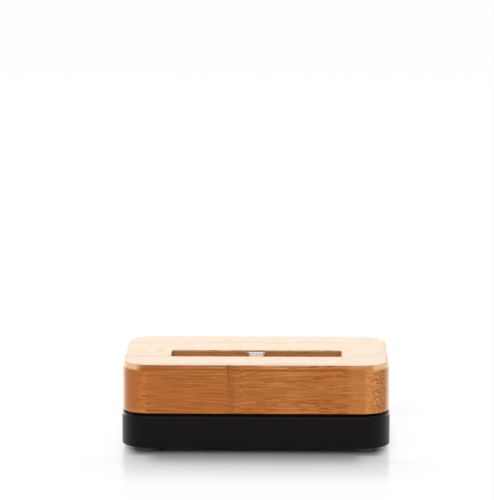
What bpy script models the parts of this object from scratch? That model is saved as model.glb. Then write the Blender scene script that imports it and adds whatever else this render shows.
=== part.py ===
"""Charging dock: a bamboo block with a leaning device slot, on a matte black weighted base.

The dock stands on the XY plane with its front towards -Y, and all lengths are in metres.
A sprung plug stands in the slot. It leans back with the device and tips forward about a
cross pin, so that the device can be lifted straight off it.
"""

import math

import bmesh
import bpy
from mathutils import Matrix, Vector

# Overall form
FOOT_STAND = 0.0025            # the base's underside above the table
BASE_LENGTH = 0.1056           # left to right
BASE_DEPTH = 0.0634            # front to back
BASE_HEIGHT = 0.0127           # underside to rim
BASE_CORNER_RADIUS = 0.0110
RIM_ROUND = 0.0009
SHADOW_GAP = 0.0010            # the dark line between the rim and the block
BLOCK_INSET = 0.0003           # the block's sides behind the base's sides
BLOCK_HEIGHT = 0.0192
BLOCK_TOP_ROUND = 0.0015
BLOCK_FOOT_ROUND = 0.0006

# The slot for the device
SLOT_LENGTH = 0.0680
SLOT_OPENING = 0.0124          # front to back, measured on the top face
SLOT_SETBACK = 0.0190          # the slot's front lip behind the block's front face
SLOT_DEPTH = 0.0074            # along the lean
SLOT_CORNER_RADIUS = 0.0015
SLOT_EDGE_BREAK = 0.0004
DEVICE_LEAN = math.radians(12)

# Clearances
FACE_GAP = 0.0003              # between faces that rest on each other
SIDE_GAP = 0.0003              # beside a piece that turns or fits in an outline
HOLE_CLEARANCE = 0.0003        # a screw's hole round its shank, in radius
HEAD_CLEARANCE = 0.0003        # a head's recess round the head, in radius
PIN_CLEARANCE = 0.0001         # the pivot pin's running fit, in radius
TONGUE_CLEARANCE = 0.0002      # the plug's tongue in its collar and stem
PAD_CLEARANCE = 0.0005         # the seat pad inside the slot
POCKET_CLEARANCE = 0.0006      # the block's hidden pocket over the bracket's ears
WINDOW_CLEARANCE = 0.0006      # the opening in the slot's floor round the moving plug
OVERRUN = 0.0010               # a cutter's reach past the face that it opens

# Base housing
WALL = 0.0024
DECK_THICKNESS = 0.0027
LAND_INSET = 0.0026            # the raised land that the block sits on, from the base's sides
BASE_FOOT_ROUND = 0.0004

# Bottom cover and its screws
COVER_THICKNESS = 0.0024
COVER_SCREW_INSET_X = 0.0188
COVER_SCREW_INSET_Y = 0.0072
COVER_BOSS_RADIUS = 0.0030
COVER_RECESS_DEPTH = 0.0015
COVER_SCREW_SHANK = 0.0013
COVER_SCREW_HEAD = 0.0026
COVER_SCREW_HEAD_HEIGHT = 0.0010
COVER_SCREW_LENGTH = 0.0075

# Feet
FOOT_RADIUS = 0.00525
FOOT_INSET_X = 0.00975
FOOT_INSET_Y = 0.0095
FOOT_POCKET_DEPTH = 0.0007
FOOT_ROUND = 0.0004

# Screws that hold the block, from inside the base
BLOCK_SCREW_INSET_X = 0.0105
BLOCK_SCREW_INSET_Y = 0.0184
BLOCK_SCREW_SHANK = 0.0014
BLOCK_SCREW_HEAD = 0.0026
BLOCK_SCREW_HEAD_HEIGHT = 0.0016
BLOCK_SCREW_LENGTH = 0.0135

# Steel ballast plate
BALLAST_DEPTH = 0.0210
BALLAST_CORNER_RADIUS = 0.0020
BALLAST_WALL_GAP = 0.0023      # behind the front wall
BALLAST_SIDE_GAP = 0.0030      # to the cover screws' bosses
BALLAST_TOP_GAP = 0.0015       # under the bracket screws' bosses
BALLAST_SCREW_INSET = 0.0060
BALLAST_BOSS_RADIUS = 0.0030
BALLAST_RECESS_DEPTH = 0.0014
BALLAST_SCREW_SHANK = 0.0013
BALLAST_SCREW_HEAD = 0.0025
BALLAST_SCREW_HEAD_HEIGHT = 0.0010
BALLAST_SCREW_LENGTH = 0.0062

# Circuit board and what it carries
BOARD_LENGTH = 0.0420
BOARD_THICKNESS = 0.0012
BOARD_CORNER_RADIUS = 0.0010
BOARD_WALL_GAP = 0.0009        # in front of the rear wall
BOARD_PORT_GAP = 0.0039        # behind the leads' port
BOARD_LEVEL_SHARE = 0.474      # of the height left beside board and inlet, what lies under the inlet
BOARD_BOSS_RADIUS = 0.0024
BOARD_SCREW_INSET_X = 0.0035
BOARD_SCREW_INSET_Y = 0.0030
BOARD_SCREW_SHANK = 0.0010
BOARD_SCREW_HEAD = 0.0019
BOARD_SCREW_HEAD_HEIGHT = 0.0011
BOARD_SCREW_LENGTH = 0.0034
CHIP_SIDE = 0.0050
CHIP_HEIGHT = 0.0009
CHIP_X = -0.0100
CAPACITOR_RADIUS = 0.0022
CAPACITOR_COVER_GAP = 0.0009   # above the bottom cover
CAPACITOR_ROUND = 0.0003
CAPACITOR_X = 0.0100
CAPACITOR_SPREAD = 0.0056      # between the two capacitors' centres, front to back
SOCKET_LENGTH = 0.0086
SOCKET_DEPTH = 0.0034
SOCKET_HEIGHT = 0.0026
SOCKET_SETBACK = 0.0026        # its centre behind the board's front edge

# Power inlet in the rear wall
INLET_LENGTH = 0.0075
INLET_HEIGHT = 0.0027
INLET_DEPTH = 0.0056
INLET_SKIN = 0.00035
INLET_CORNER = 0.0005
INLET_CLEARANCE = 0.0004
INLET_SETBACK = 0.0002         # the inlet's mouth inside the recess's floor
INLET_TONGUE_LENGTH = 0.0044
INLET_TONGUE_THICKNESS = 0.0006
INLET_TONGUE_DEPTH = 0.0039
RECESS_LENGTH = 0.0125
RECESS_HEIGHT = 0.0072
RECESS_DEPTH = 0.0009
RECESS_CORNER_RADIUS = 0.0020

# Bracket that carries the plug
PIVOT_RISE = 0.0053            # the pin's axis above the land
BRACKET_LENGTH = 0.0260
BRACKET_FRONT_MARGIN = 0.0004  # ahead of the arm's end
BRACKET_BACK_MARGIN = 0.0016   # behind the heel's end
BRACKET_THICKNESS = 0.0016
BRACKET_CORNER_RADIUS = 0.0015
EAR_THICKNESS = 0.0016
EAR_RADIUS = 0.0028
STOP_LUG_LENGTH = 0.0040
STOP_LUG_DEPTH = 0.0012
POCKET_MARGIN = 0.0015         # the block's pocket round the bracket
BRACKET_SCREW_INSET = 0.0028
BRACKET_BOSS_RADIUS = 0.0026
BRACKET_BOSS_HEIGHT = 0.0020
BRACKET_SCREW_SHANK = 0.0011
BRACKET_SCREW_HEAD = 0.0021
BRACKET_SCREW_HEAD_HEIGHT = 0.0013
BRACKET_SCREW_LENGTH = 0.0060

# Pivot pin and its clip
PIN_RADIUS = 0.0010
PIN_HEAD_RADIUS = 0.0016
PIN_HEAD_LENGTH = 0.0010
PIN_TAIL = 0.0007              # past the clip
CLIP_RADIUS = 0.0021
CLIP_THICKNESS = 0.0006

# The tilting plug: rocker, collar and tongue, built upright round the pin
HUB_RADIUS = 0.0024
HUB_LENGTH = 0.0090
STEM_LENGTH = 0.0084
STEM_THICKNESS = 0.0040
ARM_REACH = 0.0084             # the front arm, which the spring lifts
ARM_WIDTH = 0.0048
ARM_TOP = 0.0005
ARM_UNDER = 0.0012
HEEL_REACH = 0.0050            # the rear heel, which rests on the bracket
HEEL_WIDTH = 0.0070
HEEL_THICKNESS = 0.0017
COLLAR_LENGTH = 0.0090
COLLAR_THICKNESS = 0.0039
COLLAR_HEIGHT = 0.0023
COLLAR_PROUD = 0.0002          # above the seat pad
COLLAR_ROUND = 0.0003
TONGUE_LENGTH = 0.0067
TONGUE_THICKNESS = 0.0015
TONGUE_REACH = 0.0066          # above the collar
TONGUE_ROOT = 0.0014           # held in the stem
TONGUE_ROUND = 0.0004
TONGUE_SIDE_RADIUS = 0.00074
COLLAR_SIDE_RADIUS = 0.0019
PLUG_TRAVEL = DEVICE_LEAN      # the plug tips forward until it is upright

# Seat pad
PAD_THICKNESS = 0.0009
PAD_CORNER_RADIUS = 0.0010

# Return spring
SPRING_OFFSET = 0.0046         # its axis ahead of the pin
SPRING_RADIUS = 0.00125
SPRING_WIRE = 0.000175         # wire radius
SPRING_TURNS = 2.5
SPRING_POINTS_PER_TURN = 12

# Leads from the plug to the board
LEAD_RADIUS = 0.0004
LEAD_PITCH = 0.0016
LEAD_EXIT = 0.0022             # up the stem from the pin
LEAD_STUB = 0.0012             # straight run at each end
LEAD_STEPS = 3                 # points between two route points
PORT_BEHIND_PIN = 0.0100       # the port in the deck
PORT_LENGTH = 0.0074
PORT_DEPTH = 0.0036
PORT_CORNER_RADIUS = 0.0012

# Smoothness
CORNER_STEPS = 12
ROUND_STEPS = 4
FINE_STEPS = 2
SMALL_SIDES = 12
MEDIUM_SIDES = 20
LARGE_SIDES = 32
HEX_SIDES = 6
HEX_RECESS_SHARE = 0.5         # a hex recess's radius, of the head's radius
HEX_DEPTH_SHARE = 0.6          # its depth, of the head's height
HEAD_EDGE_SHARE = 0.25         # the head's broken edge, of its height
TIP_SHARE = 0.6                # the tip's flat, of the shank's radius
SAME_PLACE = 1e-6
MERGE_DISTANCE = 0.00005
SMOOTH_ANGLE = math.radians(35)

# Levels, from the table up
BASE_BOTTOM_Z = FOOT_STAND
RIM_Z = BASE_BOTTOM_Z + BASE_HEIGHT
BLOCK_BOTTOM_Z = RIM_Z + SHADOW_GAP
LAND_Z = BLOCK_BOTTOM_Z - FACE_GAP
DECK_UNDER_Z = LAND_Z - DECK_THICKNESS
BLOCK_TOP_Z = BLOCK_BOTTOM_Z + BLOCK_HEIGHT
COVER_TOP_Z = BASE_BOTTOM_Z + COVER_THICKNESS
BRACKET_TOP_Z = LAND_Z + FACE_GAP + BRACKET_THICKNESS
PIVOT_Z = LAND_Z + PIVOT_RISE
POCKET_TOP_Z = PIVOT_Z + EAR_RADIUS + POCKET_CLEARANCE
SPARE_HEIGHT = DECK_UNDER_Z - COVER_TOP_Z - BOARD_THICKNESS - INLET_HEIGHT - 2 * FACE_GAP
INLET_Z = COVER_TOP_Z + SPARE_HEIGHT * BOARD_LEVEL_SHARE + INLET_HEIGHT / 2
BOARD_UNDER_Z = INLET_Z + INLET_HEIGHT / 2 + FACE_GAP
BOARD_TOP_Z = BOARD_UNDER_Z + BOARD_THICKNESS
CAPACITOR_HEIGHT = BOARD_UNDER_Z - FACE_GAP - COVER_TOP_Z - CAPACITOR_COVER_GAP
BALLAST_UNDER_Z = COVER_TOP_Z + FACE_GAP
BALLAST_TOP_Z = DECK_UNDER_Z - BRACKET_BOSS_HEIGHT - BALLAST_TOP_GAP
BALLAST_THICKNESS = BALLAST_TOP_Z - BALLAST_UNDER_Z

# Places in plan
BLOCK_LENGTH = BASE_LENGTH - 2 * BLOCK_INSET
BLOCK_DEPTH = BASE_DEPTH - 2 * BLOCK_INSET
BLOCK_CORNER_RADIUS = BASE_CORNER_RADIUS - BLOCK_INSET
INNER_WALL_X = BASE_LENGTH / 2 - WALL
INNER_WALL_Y = BASE_DEPTH / 2 - WALL
SLOT_Y = -BLOCK_DEPTH / 2 + SLOT_SETBACK + SLOT_OPENING / 2
PIVOT_Y = SLOT_Y - (BLOCK_TOP_Z - PIVOT_Z) * math.tan(DEVICE_LEAN)
BRACKET_FRONT = ARM_REACH + BRACKET_FRONT_MARGIN
BRACKET_BACK = HEEL_REACH + BRACKET_BACK_MARGIN
PORT_Y = PIVOT_Y + PORT_BEHIND_PIN
BOARD_DEPTH = INNER_WALL_Y - BOARD_WALL_GAP - PORT_Y - PORT_DEPTH / 2 - BOARD_PORT_GAP
BOARD_Y = INNER_WALL_Y - BOARD_WALL_GAP - BOARD_DEPTH / 2
SOCKET_Y = BOARD_Y - BOARD_DEPTH / 2 + SOCKET_SETBACK
BALLAST_LENGTH = BASE_LENGTH - 2 * (COVER_SCREW_INSET_X + COVER_BOSS_RADIUS + BALLAST_SIDE_GAP)
BALLAST_Y = -INNER_WALL_Y + BALLAST_WALL_GAP + BALLAST_DEPTH / 2
INLET_MOUTH_Y = BASE_DEPTH / 2 - RECESS_DEPTH - INLET_SETBACK

# Along the plug's own axis, up from the pin
AXIS_TO_TOP = (BLOCK_TOP_Z - PIVOT_Z) / math.cos(DEVICE_LEAN)
SLOT_FLOOR = AXIS_TO_TOP - SLOT_DEPTH
PAD_TOP = SLOT_FLOOR + FACE_GAP + PAD_THICKNESS
COLLAR_TOP = PAD_TOP + COLLAR_PROUD
STEM_TOP = COLLAR_TOP - COLLAR_HEIGHT - FACE_GAP
TONGUE_TOP = COLLAR_TOP + TONGUE_REACH
TONGUE_BOTTOM = STEM_TOP - TONGUE_ROOT
SLOT_THICKNESS = SLOT_OPENING * math.cos(DEVICE_LEAN)

EVERY_CORNER = [(side, end) for side in (-1, 1) for end in (-1, 1)]


def clear_scene():
    """Remove whatever the file opened with."""
    for old in list(bpy.data.objects):
        bpy.data.objects.remove(old, do_unlink=True)


def new_collection(name):
    """A collection linked to the scene."""
    made = bpy.data.collections.new(name)
    bpy.context.scene.collection.children.link(made)
    return made


def finish(name, colour, roughness, metallic=0.0):
    """A Principled BSDF material in one colour."""
    material = bpy.data.materials.new(name)
    material.use_nodes = True
    shader = material.node_tree.nodes["Principled BSDF"]
    shader.inputs["Base Color"].default_value = (*colour, 1)
    shader.inputs["Roughness"].default_value = roughness
    shader.inputs["Metallic"].default_value = metallic
    return material


clear_scene()
dock = new_collection("charging_dock")
cutters = new_collection("cutters")

bamboo = finish("bamboo", (0.46, 0.21, 0.08), 0.45)
black_shell = finish("black_shell", (0.012, 0.011, 0.012), 0.5)
black_rubber = finish("black_rubber", (0.02, 0.02, 0.02), 0.85)
grey_silicone = finish("grey_silicone", (0.05, 0.045, 0.045), 0.8)
black_plastic = finish("black_plastic", (0.015, 0.015, 0.016), 0.4)
steel = finish("steel", (0.55, 0.55, 0.56), 0.35, 1.0)
bright_steel = finish("bright_steel", (0.75, 0.75, 0.76), 0.2, 1.0)
board_green = finish("board_green", (0.01, 0.10, 0.04), 0.35)
aluminium = finish("aluminium", (0.70, 0.71, 0.72), 0.3, 1.0)
cream_nylon = finish("cream_nylon", (0.70, 0.66, 0.55), 0.5)
lead_finishes = [
    finish("red_lead", (0.45, 0.02, 0.02), 0.45),
    finish("white_lead", (0.75, 0.75, 0.73), 0.45),
    finish("green_lead", (0.02, 0.28, 0.05), 0.45),
    finish("black_lead", (0.02, 0.02, 0.02), 0.45),
]


def empty_frame(name, location, lean):
    """An empty that leans back by an angle about X."""
    frame = bpy.data.objects.new(name, None)
    dock.objects.link(frame)
    frame.location = location
    frame.rotation_euler = (-lean, 0, 0)
    return frame


def place(name, mesh, location, material=None, parent=None, turn=(0, 0, 0)):
    """A sub-part of the dock."""
    piece = bpy.data.objects.new(name, mesh)
    dock.objects.link(piece)
    piece.location = location
    piece.rotation_euler = turn
    piece.parent = parent
    mesh.shade_smooth()
    mesh.set_sharp_from_angle(angle=SMOOTH_ANGLE)
    if material and not mesh.materials:
        mesh.materials.append(material)
    return piece


def tool(name, mesh, location=(0, 0, 0), parent=None, turn=(0, 0, 0)):
    """A shape that is joined to a sub-part or cut from it, kept out of the dock."""
    shape = bpy.data.objects.new(name, mesh)
    cutters.objects.link(shape)
    shape.location = location
    shape.rotation_euler = turn
    shape.parent = parent
    shape.hide_render = True
    shape.display_type = "WIRE"
    return shape


def combine(piece, shape, operation):
    """Join a shape to a piece with UNION, or cut it away with DIFFERENCE."""
    step = piece.modifiers.new(shape.name, "BOOLEAN")
    step.operation = operation
    step.solver = "EXACT"
    step.object = shape


def mesh_from(name, shape):
    """Close a bmesh into a named mesh."""
    mesh = bpy.data.meshes.new(name)
    shape.to_mesh(mesh)
    shape.free()
    return mesh


def edges_at_height(shape, height):
    """The edges that lie level at a height."""
    level = []
    for edge in shape.edges:
        if all(abs(vert.co.z - height) < SAME_PLACE for vert in edge.verts):
            level.append(edge)
    return level


def box(name, size, corner=0, corner_steps=CORNER_STEPS, top=0, bottom=0, steps=FINE_STEPS):
    """A box centred on its origin. Its upright corners are round, as are its top and bottom rims."""
    shape = bmesh.new()
    bmesh.ops.create_cube(shape, size=1)
    bmesh.ops.scale(shape, vec=size, verts=shape.verts)
    half = size[2] / 2
    if corner:
        upright = []
        for edge in shape.edges:
            if abs(edge.verts[0].co.z - edge.verts[1].co.z) > half:
                upright.append(edge)
        bmesh.ops.bevel(shape, geom=upright, offset=corner, segments=corner_steps,
                        profile=0.5, affect="EDGES")
    for height, width in ((half, top), (-half, bottom)):
        if width:
            bmesh.ops.bevel(shape, geom=edges_at_height(shape, height), offset=width,
                            segments=steps, profile=0.5, affect="EDGES")
    return mesh_from(name, shape)


def rods(name, places, sides):
    """Upright cylinders in one mesh, each given as x, y, low z, high z and radius."""
    shape = bmesh.new()
    for x, y, low, high, radius in places:
        middle = Matrix.Translation((x, y, (low + high) / 2))
        bmesh.ops.create_cone(shape, cap_ends=True, segments=sides, radius1=radius,
                              radius2=radius, depth=high - low, matrix=middle)
    return mesh_from(name, shape)


def disc(name, radius, height, sides, bottom=0, steps=FINE_STEPS):
    """A cylinder centred on its origin, with its lower rim rounded."""
    shape = bmesh.new()
    bmesh.ops.create_cone(shape, cap_ends=True, segments=sides, radius1=radius,
                          radius2=radius, depth=height)
    if bottom:
        bmesh.ops.bevel(shape, geom=edges_at_height(shape, -height / 2), offset=bottom,
                        segments=steps, profile=0.5, affect="EDGES")
    return mesh_from(name, shape)


def turned(name, profile, sides, closed=False):
    """A mesh holding a profile of radius and height, from its top down its outer side."""
    shape = bmesh.new()
    verts = [shape.verts.new((radius, 0, height)) for radius, height in profile]
    for first, second in zip(verts, verts[1:]):
        shape.edges.new((first, second))
    if closed:
        shape.edges.new((verts[-1], verts[0]))
    mesh = mesh_from(name, shape)
    mesh["sides"] = sides
    return mesh


def turn_on_z(piece):
    """Turn a profile into a solid about its own Z axis."""
    spin = piece.modifiers.new("turned", "SCREW")
    spin.axis = "Z"
    spin.steps = piece.data["sides"]
    spin.render_steps = piece.data["sides"]
    spin.use_merge_vertices = True
    spin.merge_threshold = MERGE_DISTANCE
    spin.use_smooth_shade = True


def screw(name, location, shank, length, head, head_height, sides, pointing_up=True):
    """A pan head screw. Its origin is under the head, and its hex recess faces the driver."""
    edge = head_height * HEAD_EDGE_SHARE
    profile = [
        (0, length),
        (shank * TIP_SHARE, length),
        (shank, length - shank),
        (shank, 0),
        (head, 0),
        (head, edge - head_height),
        (head - edge, -head_height),
        (0, -head_height),
    ]
    turn = (0, 0, 0) if pointing_up else (math.pi, 0, 0)
    piece = place(name, turned(name, profile, sides), location, steel, turn=turn)
    turn_on_z(piece)
    depth = head_height * HEX_DEPTH_SHARE + OVERRUN
    recess = bmesh.new()
    bmesh.ops.create_cone(recess, cap_ends=True, segments=HEX_SIDES, depth=depth,
                          radius1=head * HEX_RECESS_SHARE, radius2=head * HEX_RECESS_SHARE,
                          matrix=Matrix.Translation((0, 0, -head_height - OVERRUN + depth / 2)))
    hex_tool = tool(name + "_hex", mesh_from(name + "_hex", recess), location, turn=turn)
    combine(piece, hex_tool, "DIFFERENCE")
    return piece


def smooth_route(points, steps):
    """Points along a Catmull-Rom curve through the route's own points."""
    padded = [2 * points[0] - points[1], *points, 2 * points[-1] - points[-2]]
    route = []
    for before, start, end, after in zip(padded, padded[1:], padded[2:], padded[3:]):
        for step in range(steps):
            t = step / steps
            bend = 2 * before - 5 * start + 4 * end - after
            swing = 3 * start - before - 3 * end + after
            route.append((2 * start + (end - before) * t + bend * t ** 2 + swing * t ** 3) / 2)
    route.append(points[-1])
    return route


def wire(name, points, radius, material):
    """A round wire along points, with closed ends."""
    curve = bpy.data.curves.new(name, "CURVE")
    curve.dimensions = "3D"
    curve.bevel_depth = radius
    curve.bevel_resolution = 1
    curve.use_fill_caps = True
    strand = curve.splines.new("POLY")
    strand.points.add(len(points) - 1)
    for knot, point in zip(strand.points, points):
        knot.co = (*point, 1)
    curve.materials.append(material)
    piece = bpy.data.objects.new(name, curve)
    dock.objects.link(piece)
    return piece


def corner_places(inset_x, inset_y, length, depth, centre_y=0):
    """Four places near the corners of a rectangle, with a name for each."""
    names = {(-1, -1): "front_left", (1, -1): "front_right", (-1, 1): "rear_left", (1, 1): "rear_right"}
    places = {}
    for side, end in EVERY_CORNER:
        x = side * (length / 2 - inset_x)
        y = centre_y + end * (depth / 2 - inset_y)
        places[names[side, end]] = (x, y)
    return places


foot_places = corner_places(FOOT_INSET_X, FOOT_INSET_Y, BASE_LENGTH, BASE_DEPTH)
cover_screw_places = corner_places(COVER_SCREW_INSET_X, COVER_SCREW_INSET_Y, BASE_LENGTH, BASE_DEPTH)
block_screw_places = corner_places(BLOCK_SCREW_INSET_X, BLOCK_SCREW_INSET_Y, BLOCK_LENGTH, BLOCK_DEPTH)
board_screw_places = corner_places(BOARD_SCREW_INSET_X, BOARD_SCREW_INSET_Y,
                                   BOARD_LENGTH, BOARD_DEPTH, BOARD_Y)
ballast_screw_places = {
    "left": (BALLAST_SCREW_INSET - BALLAST_LENGTH / 2, BALLAST_Y),
    "right": (BALLAST_LENGTH / 2 - BALLAST_SCREW_INSET, BALLAST_Y),
}
bracket_screw_places = {
    "left": (BRACKET_SCREW_INSET - BRACKET_LENGTH / 2, PIVOT_Y),
    "right": (BRACKET_LENGTH / 2 - BRACKET_SCREW_INSET, PIVOT_Y),
}

pivot = empty_frame("plug_pivot", (0, PIVOT_Y, PIVOT_Z), DEVICE_LEAN)


def slot_tool():
    """The slot, square to the leaning device and open at the top face."""
    high = AXIS_TO_TOP + SLOT_OPENING / 2 * math.sin(DEVICE_LEAN) + OVERRUN
    size = (SLOT_LENGTH, SLOT_THICKNESS, high - SLOT_FLOOR)
    mesh = box("slot", size, corner=SLOT_CORNER_RADIUS, corner_steps=ROUND_STEPS)
    return tool("slot", mesh, (0, 0, (high + SLOT_FLOOR) / 2), pivot)


def slot_edge_tool():
    """A shallow flare that breaks the slot's sharp mouth."""
    shape = bmesh.new()
    bmesh.ops.create_cube(shape, size=1)
    bmesh.ops.scale(shape, vec=(SLOT_LENGTH, SLOT_OPENING, 2 * SLOT_EDGE_BREAK), verts=shape.verts)
    upright = [e for e in shape.edges if abs(e.verts[0].co.z - e.verts[1].co.z) > SLOT_EDGE_BREAK]
    bmesh.ops.bevel(shape, geom=upright, offset=SLOT_CORNER_RADIUS, segments=ROUND_STEPS,
                    profile=0.5, affect="EDGES")
    for vert in shape.verts:
        vert.co.y += vert.co.z * math.tan(DEVICE_LEAN)
        if vert.co.z > 0:
            vert.co.x += math.copysign(2 * SLOT_EDGE_BREAK, vert.co.x)
            vert.co.y += math.copysign(2 * SLOT_EDGE_BREAK, vert.co.y)
    return tool("slot_edge", mesh_from("slot_edge", shape), (0, SLOT_Y, BLOCK_TOP_Z))


def window_tool():
    """The opening in the slot's floor and the pad, with room for the plug to tip forward."""
    swing = COLLAR_TOP * math.sin(PLUG_TRAVEL)
    front = -COLLAR_THICKNESS / 2 - swing - WINDOW_CLEARANCE
    back = max(STEM_THICKNESS, COLLAR_THICKNESS) / 2 + WINDOW_CLEARANCE
    low = (POCKET_TOP_Z - PIVOT_Z) / 2
    high = PAD_TOP + OVERRUN
    size = (max(COLLAR_LENGTH, STEM_LENGTH) + 2 * WINDOW_CLEARANCE, back - front, high - low)
    mesh = box("window", size, corner=SLOT_CORNER_RADIUS, corner_steps=ROUND_STEPS)
    return tool("window", mesh, (0, (front + back) / 2, (low + high) / 2), pivot)


def pocket_tool():
    """The hidden pocket in the block's underside, over the bracket and the lead port."""
    front = PIVOT_Y - BRACKET_FRONT - POCKET_MARGIN
    back = PORT_Y + PORT_DEPTH / 2 + POCKET_MARGIN
    low = BLOCK_BOTTOM_Z - OVERRUN
    size = (BRACKET_LENGTH + 2 * POCKET_MARGIN, back - front, POCKET_TOP_Z - low)
    mesh = box("pocket", size, corner=POCKET_MARGIN, corner_steps=ROUND_STEPS)
    return tool("pocket", mesh, (0, (front + back) / 2, (POCKET_TOP_Z + low) / 2))


def bamboo_block(window):
    """The block that the device stands in, with its slot, window, pocket and screw holes."""
    mesh = box("bamboo_block", (BLOCK_LENGTH, BLOCK_DEPTH, BLOCK_HEIGHT), corner=BLOCK_CORNER_RADIUS,
               top=BLOCK_TOP_ROUND, bottom=BLOCK_FOOT_ROUND, steps=ROUND_STEPS)
    piece = place("bamboo_block", mesh, (0, 0, BLOCK_BOTTOM_Z + BLOCK_HEIGHT / 2), bamboo)
    holes = []
    for x, y in block_screw_places.values():
        tip = DECK_UNDER_Z - FACE_GAP + BLOCK_SCREW_LENGTH
        holes.append((x, y, BLOCK_BOTTOM_Z - OVERRUN, tip + FACE_GAP, BLOCK_SCREW_SHANK + HOLE_CLEARANCE))
    combine(piece, slot_tool(), "DIFFERENCE")
    combine(piece, slot_edge_tool(), "DIFFERENCE")
    combine(piece, pocket_tool(), "DIFFERENCE")
    combine(piece, window, "DIFFERENCE")
    combine(piece, tool("block_holes", rods("block_holes", holes, SMALL_SIDES)), "DIFFERENCE")
    return piece


def seat_pad(window):
    """The silicone pad on the slot's floor, which the device rests on."""
    size = (SLOT_LENGTH - 2 * PAD_CLEARANCE, SLOT_THICKNESS - 2 * PAD_CLEARANCE, PAD_THICKNESS)
    mesh = box("seat_pad", size, corner=PAD_CORNER_RADIUS, corner_steps=ROUND_STEPS)
    middle = SLOT_FLOOR + FACE_GAP + PAD_THICKNESS / 2
    piece = place("seat_pad", mesh, (0, 0, middle), grey_silicone, pivot)
    combine(piece, window, "DIFFERENCE")
    return piece


def housing_bosses():
    """The bosses under the deck, for the cover, ballast, board and bracket screws."""
    top = DECK_UNDER_Z + OVERRUN
    bosses = []
    for x, y in cover_screw_places.values():
        bosses.append((x, y, COVER_TOP_Z + FACE_GAP, top, COVER_BOSS_RADIUS))
    for x, y in ballast_screw_places.values():
        bosses.append((x, y, BALLAST_TOP_Z + FACE_GAP, top, BALLAST_BOSS_RADIUS))
    for x, y in board_screw_places.values():
        bosses.append((x, y, BOARD_TOP_Z + FACE_GAP, top, BOARD_BOSS_RADIUS))
    for x, y in bracket_screw_places.values():
        bosses.append((x, y, DECK_UNDER_Z - BRACKET_BOSS_HEIGHT, top, BRACKET_BOSS_RADIUS))
    return tool("bosses", rods("bosses", bosses, MEDIUM_SIDES))


def housing_holes():
    """The screw holes in the bosses and through the deck."""
    holes = []
    for x, y in cover_screw_places.values():
        tip = BASE_BOTTOM_Z + COVER_RECESS_DEPTH - FACE_GAP + COVER_SCREW_LENGTH
        low = COVER_TOP_Z - OVERRUN
        holes.append((x, y, low, tip + FACE_GAP, COVER_SCREW_SHANK + HOLE_CLEARANCE))
    for x, y in ballast_screw_places.values():
        tip = BALLAST_UNDER_Z + BALLAST_RECESS_DEPTH - FACE_GAP + BALLAST_SCREW_LENGTH
        low = BALLAST_TOP_Z - OVERRUN
        holes.append((x, y, low, tip + FACE_GAP, BALLAST_SCREW_SHANK + HOLE_CLEARANCE))
    for x, y in board_screw_places.values():
        tip = BOARD_UNDER_Z - FACE_GAP + BOARD_SCREW_LENGTH
        low = BOARD_TOP_Z - OVERRUN
        holes.append((x, y, low, tip + FACE_GAP, BOARD_SCREW_SHANK + HOLE_CLEARANCE))
    for x, y in bracket_screw_places.values():
        low = DECK_UNDER_Z - BRACKET_BOSS_HEIGHT - OVERRUN
        holes.append((x, y, low, LAND_Z + OVERRUN, BRACKET_SCREW_SHANK + HOLE_CLEARANCE))
    for x, y in block_screw_places.values():
        low = DECK_UNDER_Z - OVERRUN
        holes.append((x, y, low, LAND_Z + OVERRUN, BLOCK_SCREW_SHANK + HOLE_CLEARANCE))
    return tool("housing_holes", rods("housing_holes", holes, SMALL_SIDES))


def base_housing():
    """The black base: walls, a deck with a raised land, bosses, and the inlet's opening."""
    mesh = box("base_housing", (BASE_LENGTH, BASE_DEPTH, BASE_HEIGHT), corner=BASE_CORNER_RADIUS,
               top=RIM_ROUND, bottom=BASE_FOOT_ROUND)
    piece = place("base_housing", mesh, (0, 0, BASE_BOTTOM_Z + BASE_HEIGHT / 2), black_shell)

    land_low = RIM_Z - RIM_ROUND
    land_size = (BASE_LENGTH - 2 * LAND_INSET, BASE_DEPTH - 2 * LAND_INSET, LAND_Z - land_low)
    land = box("land", land_size, corner=BASE_CORNER_RADIUS - LAND_INSET)
    combine(piece, tool("land", land, (0, 0, (LAND_Z + land_low) / 2)), "UNION")

    cavity_low = BASE_BOTTOM_Z - OVERRUN
    cavity_size = (2 * INNER_WALL_X, 2 * INNER_WALL_Y, DECK_UNDER_Z - cavity_low)
    cavity = box("cavity", cavity_size, corner=BASE_CORNER_RADIUS - WALL)
    combine(piece, tool("cavity", cavity, (0, 0, (DECK_UNDER_Z + cavity_low) / 2)), "DIFFERENCE")

    combine(piece, housing_bosses(), "UNION")
    combine(piece, housing_holes(), "DIFFERENCE")

    port_height = DECK_THICKNESS + 2 * OVERRUN
    port = box("port", (PORT_LENGTH, PORT_DEPTH, port_height), corner=PORT_CORNER_RADIUS,
               corner_steps=ROUND_STEPS)
    combine(piece, tool("port", port, (0, PORT_Y, LAND_Z - DECK_THICKNESS / 2)), "DIFFERENCE")

    on_end = (math.pi / 2, 0, 0)
    recess_size = (RECESS_LENGTH, RECESS_HEIGHT, RECESS_DEPTH + OVERRUN)
    recess = box("inlet_recess", recess_size, corner=RECESS_CORNER_RADIUS, corner_steps=ROUND_STEPS)
    recess_y = BASE_DEPTH / 2 - RECESS_DEPTH + (RECESS_DEPTH + OVERRUN) / 2
    combine(piece, tool("inlet_recess", recess, (0, recess_y, INLET_Z), turn=on_end), "DIFFERENCE")

    hole_size = (INLET_LENGTH + 2 * INLET_CLEARANCE, INLET_HEIGHT + 2 * INLET_CLEARANCE, WALL + 2 * OVERRUN)
    hole = box("inlet_hole", hole_size, corner=INLET_CORNER + INLET_CLEARANCE, corner_steps=ROUND_STEPS)
    hole_y = BASE_DEPTH / 2 - WALL / 2
    combine(piece, tool("inlet_hole", hole, (0, hole_y, INLET_Z), turn=on_end), "DIFFERENCE")
    return piece


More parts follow.
